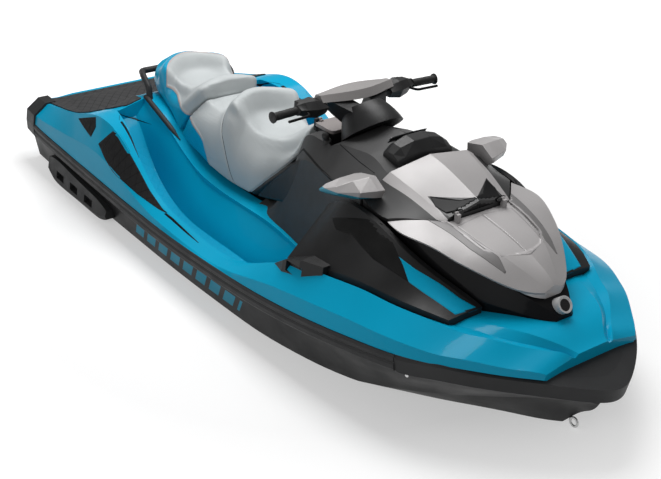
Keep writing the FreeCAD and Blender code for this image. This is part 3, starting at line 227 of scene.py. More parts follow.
class Finish:
    """A material's node tree with short names for the nodes that the finishes use."""

    def __init__(self, name, colour, roughness, metallic=0.0, coat=0.0, coat_roughness=0.05, specular=0.5):
        """A material with the constant values of its sockets; place is the Object coordinate."""
        self.material = bpy.data.materials.new(name)
        self.material.use_nodes = True
        self.tree = self.material.node_tree
        self.shader = self.tree.nodes["Principled BSDF"]
        self.colour, self.roughness = colour, roughness
        self.set("Base Color", (*colour, 1))
        self.set("Roughness", roughness)
        self.set("Metallic", metallic)
        self.set("Coat Weight", coat)
        self.set("Coat Roughness", coat_roughness)
        self.set("Specular IOR Level", specular)
        self.place = self.node("ShaderNodeTexCoord").outputs["Object"]

    def node(self, kind, **values):
        """A new node with its settings."""
        node = self.tree.nodes.new(kind)
        for key, value in values.items():
            setattr(node, key, value)
        return node

    def set(self, socket, value):
        """A constant on one of the shader's sockets."""
        self.shader.inputs[socket].default_value = value

    def link(self, a, b):
        """Links an output to an input."""
        self.tree.links.new(a, b)

    def stretched(self, scale):
        """Object coordinates stretched by three factors."""
        node = self.node("ShaderNodeMapping")
        node.inputs["Scale"].default_value = scale
        self.link(self.place, node.inputs["Vector"])
        return node.outputs["Vector"]

    def noise(self, scale, detail, where=None):
        """Cloudy noise, with that many features a metre."""
        node = self.node("ShaderNodeTexNoise")
        node.inputs["Scale"].default_value = scale
        node.inputs["Detail"].default_value = detail
        self.link(where or self.place, node.inputs["Vector"])
        return node.outputs["Fac"]

    def cells(self, scale):
        """Distance to the nearest of scattered points, that many of them a metre."""
        node = self.node("ShaderNodeTexVoronoi")
        node.inputs["Scale"].default_value = scale
        self.link(self.place, node.inputs["Vector"])
        return node.outputs["Distance"]

    def spread(self, value, a, b, low, high):
        """Turns a value between a and b into one between low and high."""
        node = self.node("ShaderNodeMapRange")
        for key, number in (("From Min", a), ("From Max", b), ("To Min", low), ("To Max", high)):
            node.inputs[key].default_value = number
        self.link(value, node.inputs["Value"])
        return node.outputs["Result"]

    def math(self, operation, a, b=None):
        """One sum of numbers or outputs."""
        node = self.node("ShaderNodeMath", operation=operation)
        for slot, value in zip(node.inputs, (a, b)):
            if isinstance(value, (int, float)):
                slot.default_value = value
            elif value is not None:
                self.link(value, slot)
        return node.outputs[0]

    def mix(self, share, a, b):
        """The colour a where share is 0 and b where it is 1."""
        node = self.node("ShaderNodeMix", data_type="RGBA")
        self.link(share, node.inputs["Factor"])
        for slot, value in ((node.inputs[6], a), (node.inputs[7], b)):
            if isinstance(value, tuple):
                slot.default_value = (*value, 1)
            else:
                self.link(value, slot)
        return node.outputs[2]

    def axis(self, letter):
        """One coordinate of the object, in metres."""
        node = self.node("ShaderNodeSeparateXYZ")
        self.link(self.place, node.inputs[0])
        return node.outputs["XYZ".index(letter)]

    def attribute(self, name):
        """A value that the mesh carries."""
        return self.node("ShaderNodeAttribute", attribute_name=name).outputs["Fac"]

    def paint(self, colour):
        """Links the base colour."""
        self.link(colour, self.shader.inputs["Base Color"])
        return self

    def mottle(self, scale, amount, colour=None):
        """Light and dark drift in the colour, by that share of it."""
        base = colour or self.colour
        share = self.spread(self.noise(scale, 4), 0.3, 0.7, 0, 1)
        if isinstance(base, tuple):
            dark, light = (tuple(c * k for c in base) for k in (1 - amount, 1 + amount))
            return self.mix(share, dark, light)
        shade = self.node("ShaderNodeHueSaturation")
        self.link(self.spread(share, 0, 1, 1 - amount, 1 + amount), shade.inputs["Value"])
        self.link(base, shade.inputs["Color"])
        return shade.outputs["Color"]

    def uneven(self, scale, low, high):
        """Roughness that drifts between two values."""
        self.link(self.spread(self.noise(scale, 5), 0.3, 0.7, low, high), self.shader.inputs["Roughness"])
        return self

    def relief(self, *layers):
        """Bump from (height, strength, depth in metres) layers, one on top of the other."""
        last = None
        for height, strength, depth in layers:
            bump = self.node("ShaderNodeBump")
            bump.inputs["Strength"].default_value = strength
            bump.inputs["Distance"].default_value = depth
            self.link(height, bump.inputs["Height"])
            if last:
                self.link(last, bump.inputs["Normal"])
            last = bump.outputs["Normal"]
        self.link(last, self.shader.inputs["Normal"])
        return self


def gel_coat(name, colour):
    """Deep gloss moulded colour under a clear coat, with the faint orange peel of a spray mould."""
    f = Finish(name, colour, 0.36, coat=0.12, coat_roughness=0.06, specular=0.05)
    f.paint(f.mottle(1.6, 0.05)).uneven(6, 0.3, 0.42)
    return f.relief((f.noise(160, 2), 0.05, 0.0006), (f.noise(18, 1), 0.04, 0.002)).material


def metallic_paint(name, colour, mask=None):
    """Silver paint under a clear coat, with fine flakes whose glints are painted: each flake's colour is a
    little lighter or darker.
    """
    f = Finish(name, colour, 0.5, metallic=0.2, coat=0.2, coat_roughness=0.2)
    # Painted glints: the colour turns lighter or darker from flake to flake.
    painted_flake_glints = f.spread(f.cells(2600), 0.0, 0.6, 0.86, 1.12)
    shade = f.node("ShaderNodeHueSaturation")
    f.link(painted_flake_glints, shade.inputs["Value"])
    f.link(f.mottle(3, 0.04), shade.inputs["Color"])
    colour = shade.outputs["Color"]
    if mask:
        share = mask(f)
        colour = f.mix(share, colour, DARK)
        f.link(f.spread(share, 0, 1, 0.2, 0.0), f.shader.inputs["Metallic"])
    f.paint(colour).uneven(9, 0.45, 0.56)
    return f.relief((f.noise(900, 2), 0.04, 0.0003)).material


def moulded(name, colour, low=0.42, high=0.6, grain=900, depth=0.35):
    """Moulded plastic: a fine pebbled grain, with a little wear that shines on the high spots."""
    f = Finish(name, colour, (low + high) / 2, specular=0.22)
    f.paint(f.mottle(7, 0.12)).uneven(14, low, high)
    return f.relief((f.cells(grain), depth, 0.0004), (f.noise(40, 2), 0.05, 0.001)).material


# Diamonds of the foam mats: half steps a metre along X + Y and X - Y, and the share of one that is groove
DIAMONDS, GROOVE = 42.0, 0.14
# Nearer the middle than this, the mat's node is its well's bare margin
WELL_MARGIN = 0.452


def foam_mat(name, colour, bare=None):
    """Closed-cell foam mat cut in diamonds, with its fine skin between the grooves, whose colour is darkened
    as painted shade. Nearer the middle than bare it has the deck's colour."""
    f = Finish(name, colour, 0.8, specular=0.15)
    x, y = f.axis("X"), f.axis("Y")
    grooves = []
    for across in ("ADD", "SUBTRACT"):
        wave = f.math("PINGPONG", f.math("MULTIPLY", f.math(across, x, y), DIAMONDS), 1.0)
        grooves.append(f.spread(wave, 0.0, GROOVE, 0, 1))
    pattern = f.math("MULTIPLY", grooves[0], grooves[1])
    # Painted shade: the grooves take the colour at less than half its brightness.
    dark = tuple(c * 0.45 for c in colour)
    shade = f.mottle(30, 0.1, f.mix(pattern, dark, colour))
    if bare:
        shade = f.mix(f.math("LESS_THAN", f.math("ABSOLUTE", y), bare), shade, BLUE)
    f.paint(shade).uneven(60, 0.7, 0.9)
    return f.relief((pattern, 0.8, 0.0012), (f.noise(1500, 3), 0.25, 0.0003)).material


def rubber(name, colour):
    """Soft black rubber with a dull bloom."""
    f = Finish(name, colour, 0.62, specular=0.35)
    f.paint(f.mottle(50, 0.2)).uneven(80, 0.52, 0.72)
    return f.relief((f.noise(1100, 3), 0.2, 0.0003)).material


def brushed(name, colour):
    """Stainless steel, brushed along X."""
    f = Finish(name, colour, 0.28, metallic=1.0)
    lines = f.noise(1.0, 4, f.stretched((30, 900, 900)))
    f.paint(f.mottle(20, 0.05))
    f.link(f.spread(lines, 0.3, 0.7, 0.2, 0.38), f.shader.inputs["Roughness"])
    return f.relief((lines, 0.08, 0.0002)).material


def cast_metal(name, colour, metallic=0.9):
    """Cast metal: grainy, with darker pits."""
    f = Finish(name, colour, 0.5, metallic=metallic)
    pits = f.spread(f.noise(320, 5), 0.35, 0.65, 0, 1)
    f.paint(f.mix(pits, tuple(c * 0.6 for c in colour), colour)).uneven(25, 0.4, 0.62)
    return f.relief((f.noise(420, 4), 0.3, 0.0005)).material


# The hull's row of bars: how far each leans along X over its height, half the step from bar to bar, half the
# gap between two, the heights the row lies between and where it starts and ends along X less the lean
BAR_LEAN, BAR_HALF_STEP, BAR_HALF_GAP = 0.7, 0.052, 0.016
BAR_LOW, BAR_HIGH, BAR_START, BAR_END = 0.045, 0.118, -0.63, 0.225
# Keeps the coordinate positive before it is folded into steps
BAR_SHIFT = 10.0


def side_bars(f):
    """1 on the slanted bars of the hull's side, and 0 beside them."""
    x, z = f.axis("X"), f.axis("Z")
    lean = f.math("SUBTRACT", x, f.math("MULTIPLY", z, BAR_LEAN))
    step = f.math("PINGPONG", f.math("ADD", lean, BAR_SHIFT), BAR_HALF_STEP)
    bar = f.math("GREATER_THAN", step, BAR_HALF_GAP)
    inside = f.math("MULTIPLY", f.math("GREATER_THAN", z, BAR_LOW), f.math("LESS_THAN", z, BAR_HIGH))
    ends = f.math("MULTIPLY", f.math("GREATER_THAN", lean, BAR_START), f.math("LESS_THAN", lean, BAR_END))
    return f.math("MULTIPLY", f.math("MULTIPLY", bar, inside), ends)


def hull_finish():
    """Black moulded hull with a row of slanted blue bars on its sides."""
    f = Finish("hull_shell", HULL_BLACK, 0.42, specular=0.12)
    f.paint(f.mix(side_bars(f), f.mottle(3, 0.15), BAR_BLUE)).uneven(8, 0.34, 0.5)
    return f.relief((f.cells(700), 0.08, 0.0004), (f.noise(12, 2), 0.05, 0.002)).material


# The silver deflector: its half width at its rear edge, that edge's X and how fast it narrows forward; then
# the X where its black lip starts at the middle, how fast that line runs aft and the lip's half width
DEFLECTOR_HALF, DEFLECTOR_REAR, DEFLECTOR_TAPER = 0.237, 0.6625, 0.2
LIP_START, LIP_SLANT, LIP_HALF = 0.9595, 0.7, 0.15


def beside_deflector(f):
    """1 on the lid's dark shoulders and front lip, and 0 on the silver deflector between them."""
    x, y = f.axis("X"), f.math("ABSOLUTE", f.axis("Y"))
    narrowed = f.math("MULTIPLY", f.math("SUBTRACT", x, DEFLECTOR_REAR), DEFLECTOR_TAPER)
    edge = f.math("SUBTRACT", DEFLECTOR_HALF, narrowed)
    ahead = f.math("GREATER_THAN", f.math("ADD", x, f.math("MULTIPLY", y, LIP_SLANT)), LIP_START)
    lip = f.math("MULTIPLY", ahead, f.math("LESS_THAN", y, LIP_HALF))
    return f.math("MAXIMUM", f.math("GREATER_THAN", y, edge), lip)


# Half widths of the piping's and the seams' coloured lines, in millimetres
PIPING_LINE, STITCH_LINE = 3.8, 2.2


def seat_vinyl():
    """Marine vinyl in pale grey with its leather grain. The blue shell, the piping and the seams follow the
    distances, in millimetres, that the seat's mesh carries."""
    f = Finish("seat_vinyl", VINYL, 0.55, specular=0.4)
    shell, seam = f.attribute("shell"), f.attribute("seam")
    blue = f.math("LESS_THAN", shell, 0.0)
    edge = f.math("ABSOLUTE", shell)
    bead = f.math("LESS_THAN", edge, PIPING_LINE)
    stitch = f.math("LESS_THAN", f.math("ABSOLUTE", seam), STITCH_LINE)
    grey = f.mottle(9, 0.04)
    colour = f.mix(stitch, grey, STITCH)
    colour = f.mix(blue, colour, BLUE)
    colour = f.mix(bead, colour, PIPING)
    panel = f.math("LESS_THAN", f.attribute("front"), 0.0)
    f.paint(f.mix(panel, colour, DARK))
    hard = f.math("MAXIMUM", blue, panel)
    f.link(f.spread(hard, 0, 1, 0.56, 0.34), f.shader.inputs["Roughness"])
    soft = f.math("SUBTRACT", 1.0, hard)
    grain = f.math("MULTIPLY", f.cells(420), soft)
    return f.relief((grain, 0.35, 0.0006), (f.noise(60, 3), 0.08, 0.001)).material


# The mirrors' two colours meet at a height that starts at the first value at Y = 0 and rises by the second
MIRROR_LINE, MIRROR_LINE_RISE = 0.6056, 0.22


def mirror_shell():
    """Silver above and blue on the underside of a mirror housing."""
    f = Finish("mirror_shell", SILVER, 0.45, metallic=0.2, coat=0.2, coat_roughness=0.2)
    z, y = f.axis("Z"), f.math("ABSOLUTE", f.axis("Y"))
    line = f.math("ADD", MIRROR_LINE, f.math("MULTIPLY", y, MIRROR_LINE_RISE))
    low = f.math("LESS_THAN", z, line)
    f.paint(f.mix(low, f.mottle(5, 0.05), DEEP_BLUE)).uneven(9, 0.4, 0.5)
    return f.relief((f.cells(2400), 0.05, 0.0002)).material


# The middle of the nose badge's face, and the radius inside its bright ring
BADGE_MIDDLE, BADGE_RING = (1.4365, 0.0, 0.457), 0.0225


def badge_metal():
    """A bare badge: a bright ring round a dark face, by the distance from the face's middle."""
    f = Finish("badge_metal", DARK, 0.3, metallic=0.4)
    away = f.node("ShaderNodeVectorMath", operation="DISTANCE")
    f.link(f.place, away.inputs[0])
    away.inputs[1].default_value = BADGE_MIDDLE
    ring = f.math("GREATER_THAN", away.outputs["Value"], BADGE_RING)
    f.paint(f.mix(ring, f.mottle(20, 0.1), RING_SILVER)).uneven(30, 0.22, 0.34)
    return f.relief((f.noise(400, 2), 0.04, 0.0002)).material


def glass(name, colour, metallic=0.0):
    """Smooth dark or silvered glass with a trace of haze."""
    f = Finish(name, colour, 0.04, metallic=metallic, coat=1.0, coat_roughness=0.02)
    f.paint(f.mottle(14, 0.03)).uneven(30, 0.04, 0.09)
    return f.relief((f.noise(25, 1), 0.01, 0.0005)).material


blue_coat = gel_coat("deck_gel_coat", BLUE)
silver_paint = metallic_paint("hood_silver", SILVER)
lid_paint = metallic_paint("lid_silver_and_dark", SILVER, beside_deflector)
gloss_black = gel_coat("front_gloss_black", (0.006, 0.006, 0.0065))
bumper_plastic = moulded("bumper_plastic", CHARCOAL, 0.45, 0.62, 800, 0.4)
panel_plastic = moulded("panel_plastic", (0.014, 0.014, 0.0145), 0.34, 0.48, 1000, 0.25)
console_plastic = moulded("console_plastic", (0.036, 0.036, 0.0365), 0.46, 0.6, 900, 0.3)
bin_plastic = moulded("bin_plastic", (0.02, 0.02, 0.02), 0.5, 0.7, 600, 0.4)
mat_foam = foam_mat("mat_foam", FOAM)
well_foam = foam_mat("well_foam", FOAM, WELL_MARGIN)
inlay_foam = foam_mat("inlay_foam", (0.013, 0.013, 0.0135))
# Darker silver laid on the hood's top as painted shade.
painted_shade_silver = metallic_paint("painted_shade_silver", (0.15, 0.145, 0.145))
black_rubber = rubber("black_rubber", (0.01, 0.01, 0.01))
steel = brushed("stainless_steel", (0.6, 0.6, 0.6))
cast_alloy = cast_metal("cast_alloy", (0.5, 0.5, 0.51))
engine_metal = cast_metal("engine_metal", (0.16, 0.16, 0.17), 0.6)
vinyl = seat_vinyl()
mirror_paint = mirror_shell()
# Near black: the hinge caps and the console line, and the painted shadow on the side panel.
black_and_painted_shade = moulded("black_and_painted_shade", (0.002, 0.002, 0.002), 0.7, 0.85, 500, 0.2)
mirror_glass = glass("mirror_glass", (0.75, 0.78, 0.8), 1.0)
dial_glass = glass("dial_glass", (0.01, 0.012, 0.014))

FINISHES = {
    "hull": hull_finish(), "deck": blue_coat, "bow_bumper": bumper_plastic, "console": console_plastic,
    "glovebox": bin_plastic, "glovebox_lid": metallic_paint("glovebox_paint", (0.2, 0.18, 0.175)),
    "cowl": gloss_black, "storage_bin": bin_plastic, "storage_lid": lid_paint, "hood": silver_paint,
    "neck_cover": panel_plastic, "steering_pad": metallic_paint("pad_silver", (0.21, 0.2, 0.197)),
    "handlebar": steel, "engine": engine_metal, "pump": cast_alloy, "impeller": steel, "nozzle": cast_alloy,
    "reverse_gate": bumper_plastic, "ride_plate": bumper_plastic, "intake_grate": cast_alloy,
    "grab_handle": bumper_plastic, "platform_mat": mat_foam, "boarding_step": steel, "step_brackets": steel,
    "bow_eye": steel, "gauge_housing": panel_plastic, "nose_badge": badge_metal(), "stern_eyes": steel,
    "rub_rail": bumper_plastic, "stern_bumper": bumper_plastic, "side_panel": panel_plastic,
    "sponson": bumper_plastic, "footwell_mat": well_foam, "grip": black_rubber, "switch_pod": panel_plastic,
    "lever": gloss_black, "mirror": mirror_paint, "cleat": panel_plastic, "seat_front": vinyl,
    "seat_rear": vinyl,
}


def dress_nodes():
    """Gives every CAD node its finish, by its name without port or starboard."""
    for name, obj in nodes.items():
        kind = name.removesuffix("_port").removesuffix("_starboard")
        obj.data.materials.clear()
        obj.data.materials.append(FINISHES[kind])


# Seats

# Height of the seat along its middle
seat_top = curve((588, 846), (600, 874), (618, 892), (642, 893), (672, 860), (712, 806), (790, 788),
                 (862, 798), (904, 852), (926, 876), (948, 876), (972, 850), (1002, 806), (1050, 788),
                 (1110, 786), (1156, 808), (1200, 884), (1226, 902), (1246, 894), (1274, 850), (1306, 794),
                 (1420, 752), (1530, 764), (1640, 826), (1730, 900), (1792, 942))
# Where the seat is dished across, from 0 at a crest to 1 in a hollow
seat_dish = curve((588, 0), (642, 0), (700, 1), (840, 0.9), (900, 0.1), (945, 0), (1000, 0.6), (1100, 0.5),
                  (1190, 0.1), (1240, 0), (1306, 1), (1520, 1), (1640, 0.4), (1792, 0))
# The line below which the seat's front is a black panel
front_line = curve((1400, 440), (1440, 478), (1500, 522), (1600, 622), (1700, 724), (1792, 836))
# Half widths where the top ends, at the sides and at the foot, and the height of the foot
seat_half = curve((588, 110), (620, 150), (700, 168), (900, 165), (1010, 160), (1120, 160), (1250, 166),
                  (1400, 158), (1550, 140), (1700, 118), (1792, 90))
seat_side = curve((588, 120), (640, 176), (720, 200), (900, 206), (1100, 204), (1300, 206), (1500, 196),
                  (1650, 164), (1792, 100))
seat_foot = curve((588, 90), (640, 165), (720, 200), (900, 214), (1100, 216), (1300, 216), (1500, 206),
                  (1600, 170), (1792, 96))
seat_low = curve((588, 744), (690, 732), (870, 672), (1000, 604), (1100, 556), (1190, 520), (1385, 502),
                 (1520, 506), (1590, 540), (1640, 592), (1700, 690), (1760, 812), (1792, 888))
# How far forward a crest's rim runs at the seat's side, along X
RIM_SWEEP = 112.0
rim_sweep = curve((588, RIM_SWEEP), (760, RIM_SWEEP), (900, 44), (1060, 30), (1180, 84), (1250, 104),
                  (1792, 104))
# Rim sweep fades to nothing over these lengths at a seat's rear and front ends
SWEEP_FADE_REAR, SWEEP_FADE_FRONT = 60, 80
# Shares of the half width at which the top is drawn
TOP_SHARES = np.array((0, 0.18, 0.36, 0.54, 0.7, 0.84, 0.94, 1.0))
# Fall of the top towards its edge: at a crest by the square of the share, and how much less in a hollow; then
# the same by the tenth power, which acts close to the edge, and how much more in a hollow
CROWN, CROWN_LOSS, EDGE_FALL, EDGE_FALL_GAIN = 14, 30, 10, 34
# Bolster beside a hollow: its height, the share of the half width where it lies and its spread
BOLSTER, BOLSTER_SHARE, BOLSTER_SPREAD = 20, 0.82, 0.13
# How far in from the foot the flat underside starts, and how far the foot lies above it
FOOT_ROUND, FOOT_LIFT = 26, 8

# The piping's height along X, and the driver's seam as X over height
piping_z = curve((588, 700), (700, 790), (765, 800), (827, 778), (907, 744), (994, 712),
                 (1071, 684), (1139, 648), (1163, 586), (1187, 522), (1200, 380))
driver_seam_x = curve((480, 1395), (506, 1381), (539, 1340), (613, 1303), (695, 1268), (739, 1244),
                      (783, 1236), (832, 1230), (870, 1196), (900, 1180))
# Where the two seats meet, as X over height
joint_x = curve((500, 866), (573, 905), (790, 1035), (880, 1089))


def seat_sections(start, end, rows):
    """Closed sections of a seat from X = start to X = end. With q the share of the half width, the top is
    z = h(x - s q squared) - c q squared - e q to the tenth: the rim of each crest sweeps forward at the
    sides, and c turns negative in the hollows, where a bolster b exp(-((q - m) / w) squared) is added. The
    sides then fall to the foot line and the underside is flat. Two rounds of corner cutting smooth each
    section."""
    x = np.linspace(start, end, rows)
    half, side_y, foot, low = seat_half(x), seat_side(x), seat_foot(x), seat_low(x)
    q = TOP_SHARES
    sweep = rim_sweep(x) * smooth(0, SWEEP_FADE_REAR, x - start) * smooth(0, SWEEP_FADE_FRONT, end - x)
    moved = x[:, None] - sweep[:, None] * q ** 2
    hollow = seat_dish(moved)
    top = seat_top(moved) - (CROWN - CROWN_LOSS * hollow) * q ** 2
    top -= (EDGE_FALL + EDGE_FALL_GAIN * hollow) * q ** 10
    top += BOLSTER * hollow * np.exp(-((q - BOLSTER_SHARE) / BOLSTER_SPREAD) ** 2)
    edge = top[:, -1]
    fall = edge - low
    across = (0.35 * half + 0.65 * side_y, side_y, 0.5 * (side_y + foot), foot, foot - FOOT_ROUND, 0.5 * foot,
              0 * foot)
    heights = (edge - 0.22 * fall, edge - 0.45 * fall, edge - 0.75 * fall, low + FOOT_LIFT, low, low, low)
    y = np.concatenate([half[:, None] * q] + [c[:, None] for c in across], 1)
    z = np.concatenate([top] + [c[:, None] for c in heights], 1)
    y = np.concatenate([y, -y[:, -2:0:-1]], 1)
    z = np.concatenate([z, z[:, -2:0:-1]], 1)
    points = np.stack([np.broadcast_to(x[:, None], y.shape), y, z], -1)
    for _ in range(2):
        after = np.roll(points, -1, axis=1)
        cut = np.stack([0.75 * points + 0.25 * after, 0.25 * points + 0.75 * after], 2)
        points = cut.reshape(rows, -1, 3)
    return points


PRESSURE, CLOTH_FRAMES, CREASE_PASSES = 4, 20, 14
CELL, SWELL_CAP, QUICK_CELL = 0.008, 0.009, 0.01


def evened(obj, move, passes):
    """Takes the creases out of a swelling: in each pass a vertex's move becomes the mean of its own and its
    neighbours'."""
    ends = np.empty(len(obj.data.edges) * 2, int)
    obj.data.edges.foreach_get("vertices", ends)
    a, b = ends.reshape(-1, 2).T
    count = 1 + np.bincount(a, minlength=len(move)) + np.bincount(b, minlength=len(move))
    for _ in range(passes):
        total = move.copy()
        for k in range(3):
            total[:, k] += np.bincount(a, move[b, k], len(move)) + np.bincount(b, move[a, k], len(move))
        move = total / count[:, None]
    return move


def remeshed(obj, cell):
    """Rebuilds an object's mesh of even cells."""
    remesh = obj.modifiers.new("even", "REMESH")
    remesh.mode, remesh.voxel_size = "VOXEL", cell
    settle(obj)


def swell(obj):
    """Fills the seat by cloth simulation: blown up with no gravity, moved no further than the cap."""
    still = np.empty(len(obj.data.vertices) * 3)
    obj.data.vertices.foreach_get("co", still)
    cloth = obj.modifiers.new("fill", "CLOTH")
    cloth.settings.use_pressure = True
    cloth.settings.uniform_pressure_force = PRESSURE
    cloth.settings.effector_weights.gravity = 0
    cloth.settings.quality = 4
    cloth.point_cache.frame_start, cloth.point_cache.frame_end = 1, CLOTH_FRAMES
    scene = bpy.context.scene
    for number in range(1, CLOTH_FRAMES + 1):
        scene.frame_set(number)
    settle(obj)
    scene.frame_set(1)
    blown = np.empty_like(still)
    obj.data.vertices.foreach_get("co", blown)
    move = (blown - still).reshape(-1, 3)
    reach = np.linalg.norm(move, axis=1, keepdims=True)
    move *= np.minimum(1, SWELL_CAP / np.maximum(reach, 1e-9))
    obj.data.vertices.foreach_set("co", still + evened(obj, move, CREASE_PASSES).ravel())


# Height or depth of the piping, the driver's seam and the front seam, each with its half width
BEAD, GROOVE_DEPTH, FRONT_DEPTH = (2.6, 6.5), (4.0, 8), (5.0, 7)
# Factors that turn a distance along X or Z into one square to a line: the first divides, the others multiply
SIDE_SLOPE, REAR_SLOPE, FRONT_SLOPE = 1.35, 0.9, 0.7
# Nearer the middle than this share of the half width the side line fades out, by that many millimetres for
# each whole share
SIDE_SHARE, SHARE_STEP = 0.88, 400
# X of the piping at the rear and at the front, of the corner where it turns up, and of its end
REAR_PIPING, FRONT_PIPING, PIPING_CORNER, PIPING_END = 652, 1187, 1139, 1200
# Distance given to what lies ahead of the piping's end, out of every line's reach
FAR = 60.0
# How far aft the driver's seam runs in the middle, and the half width at which it doesn't
SEAM_DIP, SEAM_HALF = 60, 165


def ridge(distance, size):
    """h (1 - (d / w) squared) within w of a line, and 0 beyond it."""
    height, width = size
    return height * np.clip(1 - (distance / width) ** 2, 0, 1)


def sew(obj):
    """Adds the piping and the seams after the swelling: each vertex moves along its normal, out by a ridge at
    the piping and in by a ridge at a seam. The mesh keeps the distances for its finish."""
    mesh = obj.data
    count = len(mesh.vertices)
    points, normals = np.empty(count * 3), np.empty(count * 3)
    mesh.vertices.foreach_get("co", points)
    mesh.vertex_normals.foreach_get("vector", normals)
    x, y, z = (points.reshape(-1, 3) * 1000 + (LENGTH / 2, 0, DRAFT)).T
    normals = normals.reshape(-1, 3)
    share = np.abs(y) / seat_half(x)
    side_line = (z - piping_z(x)) / SIDE_SLOPE + SHARE_STEP * np.clip(SIDE_SHARE - share, 0, 1)
    shell = np.minimum(side_line, (x - RIM_SWEEP * share ** 2 - REAR_PIPING) * REAR_SLOPE)
    corner = np.maximum(shell, (x - FRONT_PIPING) * REAR_SLOPE)
    shell = np.where(x > PIPING_END, FAR, np.where(x > PIPING_CORNER, corner, shell))
    seam = (x - driver_seam_x(z) - SEAM_DIP * (y / SEAM_HALF) ** 2 + SEAM_DIP) * REAR_SLOPE
    front = (z - front_line(x)) * FRONT_SLOPE
    rise = ridge(shell, BEAD) - (ridge(seam, GROOVE_DEPTH) + ridge(front, FRONT_DEPTH))
    moved = points.reshape(-1, 3) + normals * (rise / 1000)[:, None]
    mesh.vertices.foreach_set("co", moved.ravel())
    for name, values in (("shell", shell), ("seam", seam), ("front", front)):
        layer = mesh.attributes.new(name, "FLOAT", "POINT")
        layer.data.foreach_set("value", values.astype(np.float32))


# X of the seats' ends and of the joint before it is slanted
SEAT_REAR, SEAT_JOINT, SEAT_FRONT = 592, 1000, 1788
# Half the gap between the seats, the length at the rear that isn't slid and the length in front that is
SEAT_GAP, REAR_STEADY, FRONT_SLIDE = 2.5, 140, 190
# Left for the swelling, as a share of the seat
SWELL_ROOM = 6 / 400


def build_seat(name, start, end, rows, body):
    """One seat: sections slid along X so that its end follows the slanted joint, then swollen and sewn."""
    points = seat_sections(start, end, rows)
    x, z = points[..., 0], points[..., 2]
    slide = joint_x(z) - SEAT_JOINT
    if end == SEAT_JOINT:
        points[..., 0] = x + (slide - SEAT_GAP) * smooth(start + REAR_STEADY, end, x)
    else:
        points[..., 0] = x + (slide + SEAT_GAP) * (1 - smooth(start, start + FRONT_SLIDE, x))
    middle = points.mean(axis=(0, 1))
    points = middle + (points - middle) * (1 - SWELL_ROOM)
    obj = tube(name, points, vinyl)
    remeshed(obj, CELL)
    swell(obj)
    finer = obj.modifiers.new("finer", "SUBSURF")
    finer.levels = finer.render_levels = 1
    settle(obj)
    sew(obj)
    obj.data.polygons.foreach_set("use_smooth", np.ones(len(obj.data.polygons), bool))
    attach(obj, body)
    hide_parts(name.removesuffix("_pad"))


def build_seats():
    """The rear and the front seat, with that many sections each."""
    build_seat("seat_rear_pad", SEAT_REAR, SEAT_JOINT, 60, "rear_seat")
    build_seat("seat_front_pad", SEAT_JOINT, SEAT_FRONT, 110, "front_seat")


# Handlebar

GRIP_END = np.array((1967.0, 418.0, 1080.0))
BAR_MIDDLE = np.array((1950.0, 150.0, 1082.0))
GRIP_LENGTH = 125.0
# Radii of the bore and of the sleeve, and how much fuller the sleeve is in its middle
BORE, SLEEVE, BELLY = 11.2, 15.4, 0.8
# Height of the raised rings, the step from one to the next and the length left without them at the outer end
RING_HEIGHT, RING_STEP, RINGS_STOP = 1.1, 6.2, 8
# Middle of the palm's band, and how far from it the rings reach their full height
PALM, PALM_FADE = 62, 20
# Height and length of the inner flange
INNER_FLANGE, FLANGE_LENGTH = 5.5, 7
# Distance from the grip's end and radius of the outer flange's corners
OUTER_FLANGE = ((6, 17), (6, 22.5), (1.5, 23.3), (0, 21))


def build_grips():
    """Each grip: a turned rubber sleeve whose radius is a slightly bellied line plus raised rings, lower
    round the palm, with a flange at each end."""
    for side, name in SIDES[::-1]:
        mirror = np.array((1, side, 1))
        way = (GRIP_END - BAR_MIDDLE) * mirror
        way = way / np.linalg.norm(way)
        start = GRIP_END * mirror - way * GRIP_LENGTH
        t = np.linspace(0, GRIP_LENGTH - RINGS_STOP, 150)
        rings = np.clip(np.sin(t * 2 * np.pi / RING_STEP), 0, 1)
        ribs = RING_HEIGHT * rings * (0.35 + 0.65 * smooth(0, PALM_FADE, np.abs(t - PALM)))
        belly = BELLY * np.sin(np.pi * t / GRIP_LENGTH)
        radius = SLEEVE + ribs + belly + INNER_FLANGE * (1 - smooth(0, FLANGE_LENGTH, t))
        cap = [(GRIP_LENGTH - back, wide) for back, wide in OUTER_FLANGE]
        profile = [(0, BORE)] + list(zip(t, radius)) + cap + [(GRIP_LENGTH, POINT)]
        obj = tube(f"grip_sleeve_{name}", turned(start, way, profile, 40), black_rubber, "steering")
        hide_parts(f"grip_{name}")


# The dial glass: X and Z of its lower edge, its half width, its depth and height, and its crown
DIAL_X, DIAL_Z, DIAL_HALF, DIAL_RUN, DIAL_RISE, DIAL_CROWN = 2276, 1010, 92, 16, 26, 3


def build_gauge():
    """The dial glass: a slanted plate inside the visor, P(u, v) = (x + run v, half u,
    z + crown (1 - u squared) + rise v)."""
    columns, rows = 24, 8
    u, v = np.meshgrid(np.linspace(-1, 1, columns), np.linspace(0, 1, rows), indexing="ij")
    z = DIAL_Z + DIAL_CROWN * (1 - u ** 2) + DIAL_RISE * v
    points = np.stack([DIAL_X + DIAL_RUN * v, DIAL_HALF * u, z], -1)
    obj = mesh_object("dial_glass", place(points), quads(columns, rows)[:, ::-1], dial_glass)
    thicken(obj, 0.003)
    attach(obj, "craft")


# Trim on the deck and shell

def screw(name, spot, way, finish, body, radius=5.0):
    """A pan-head screw with a round recess, turned about its own way out of the panel."""
    profile = [(-2, radius), (0.4, radius), (1.6, radius * 0.82), (2.0, radius * 0.5), (0.9, radius * 0.34),
               (0.9, POINT)]
    tube(name, turned(spot, way, profile, 20), finish, body)


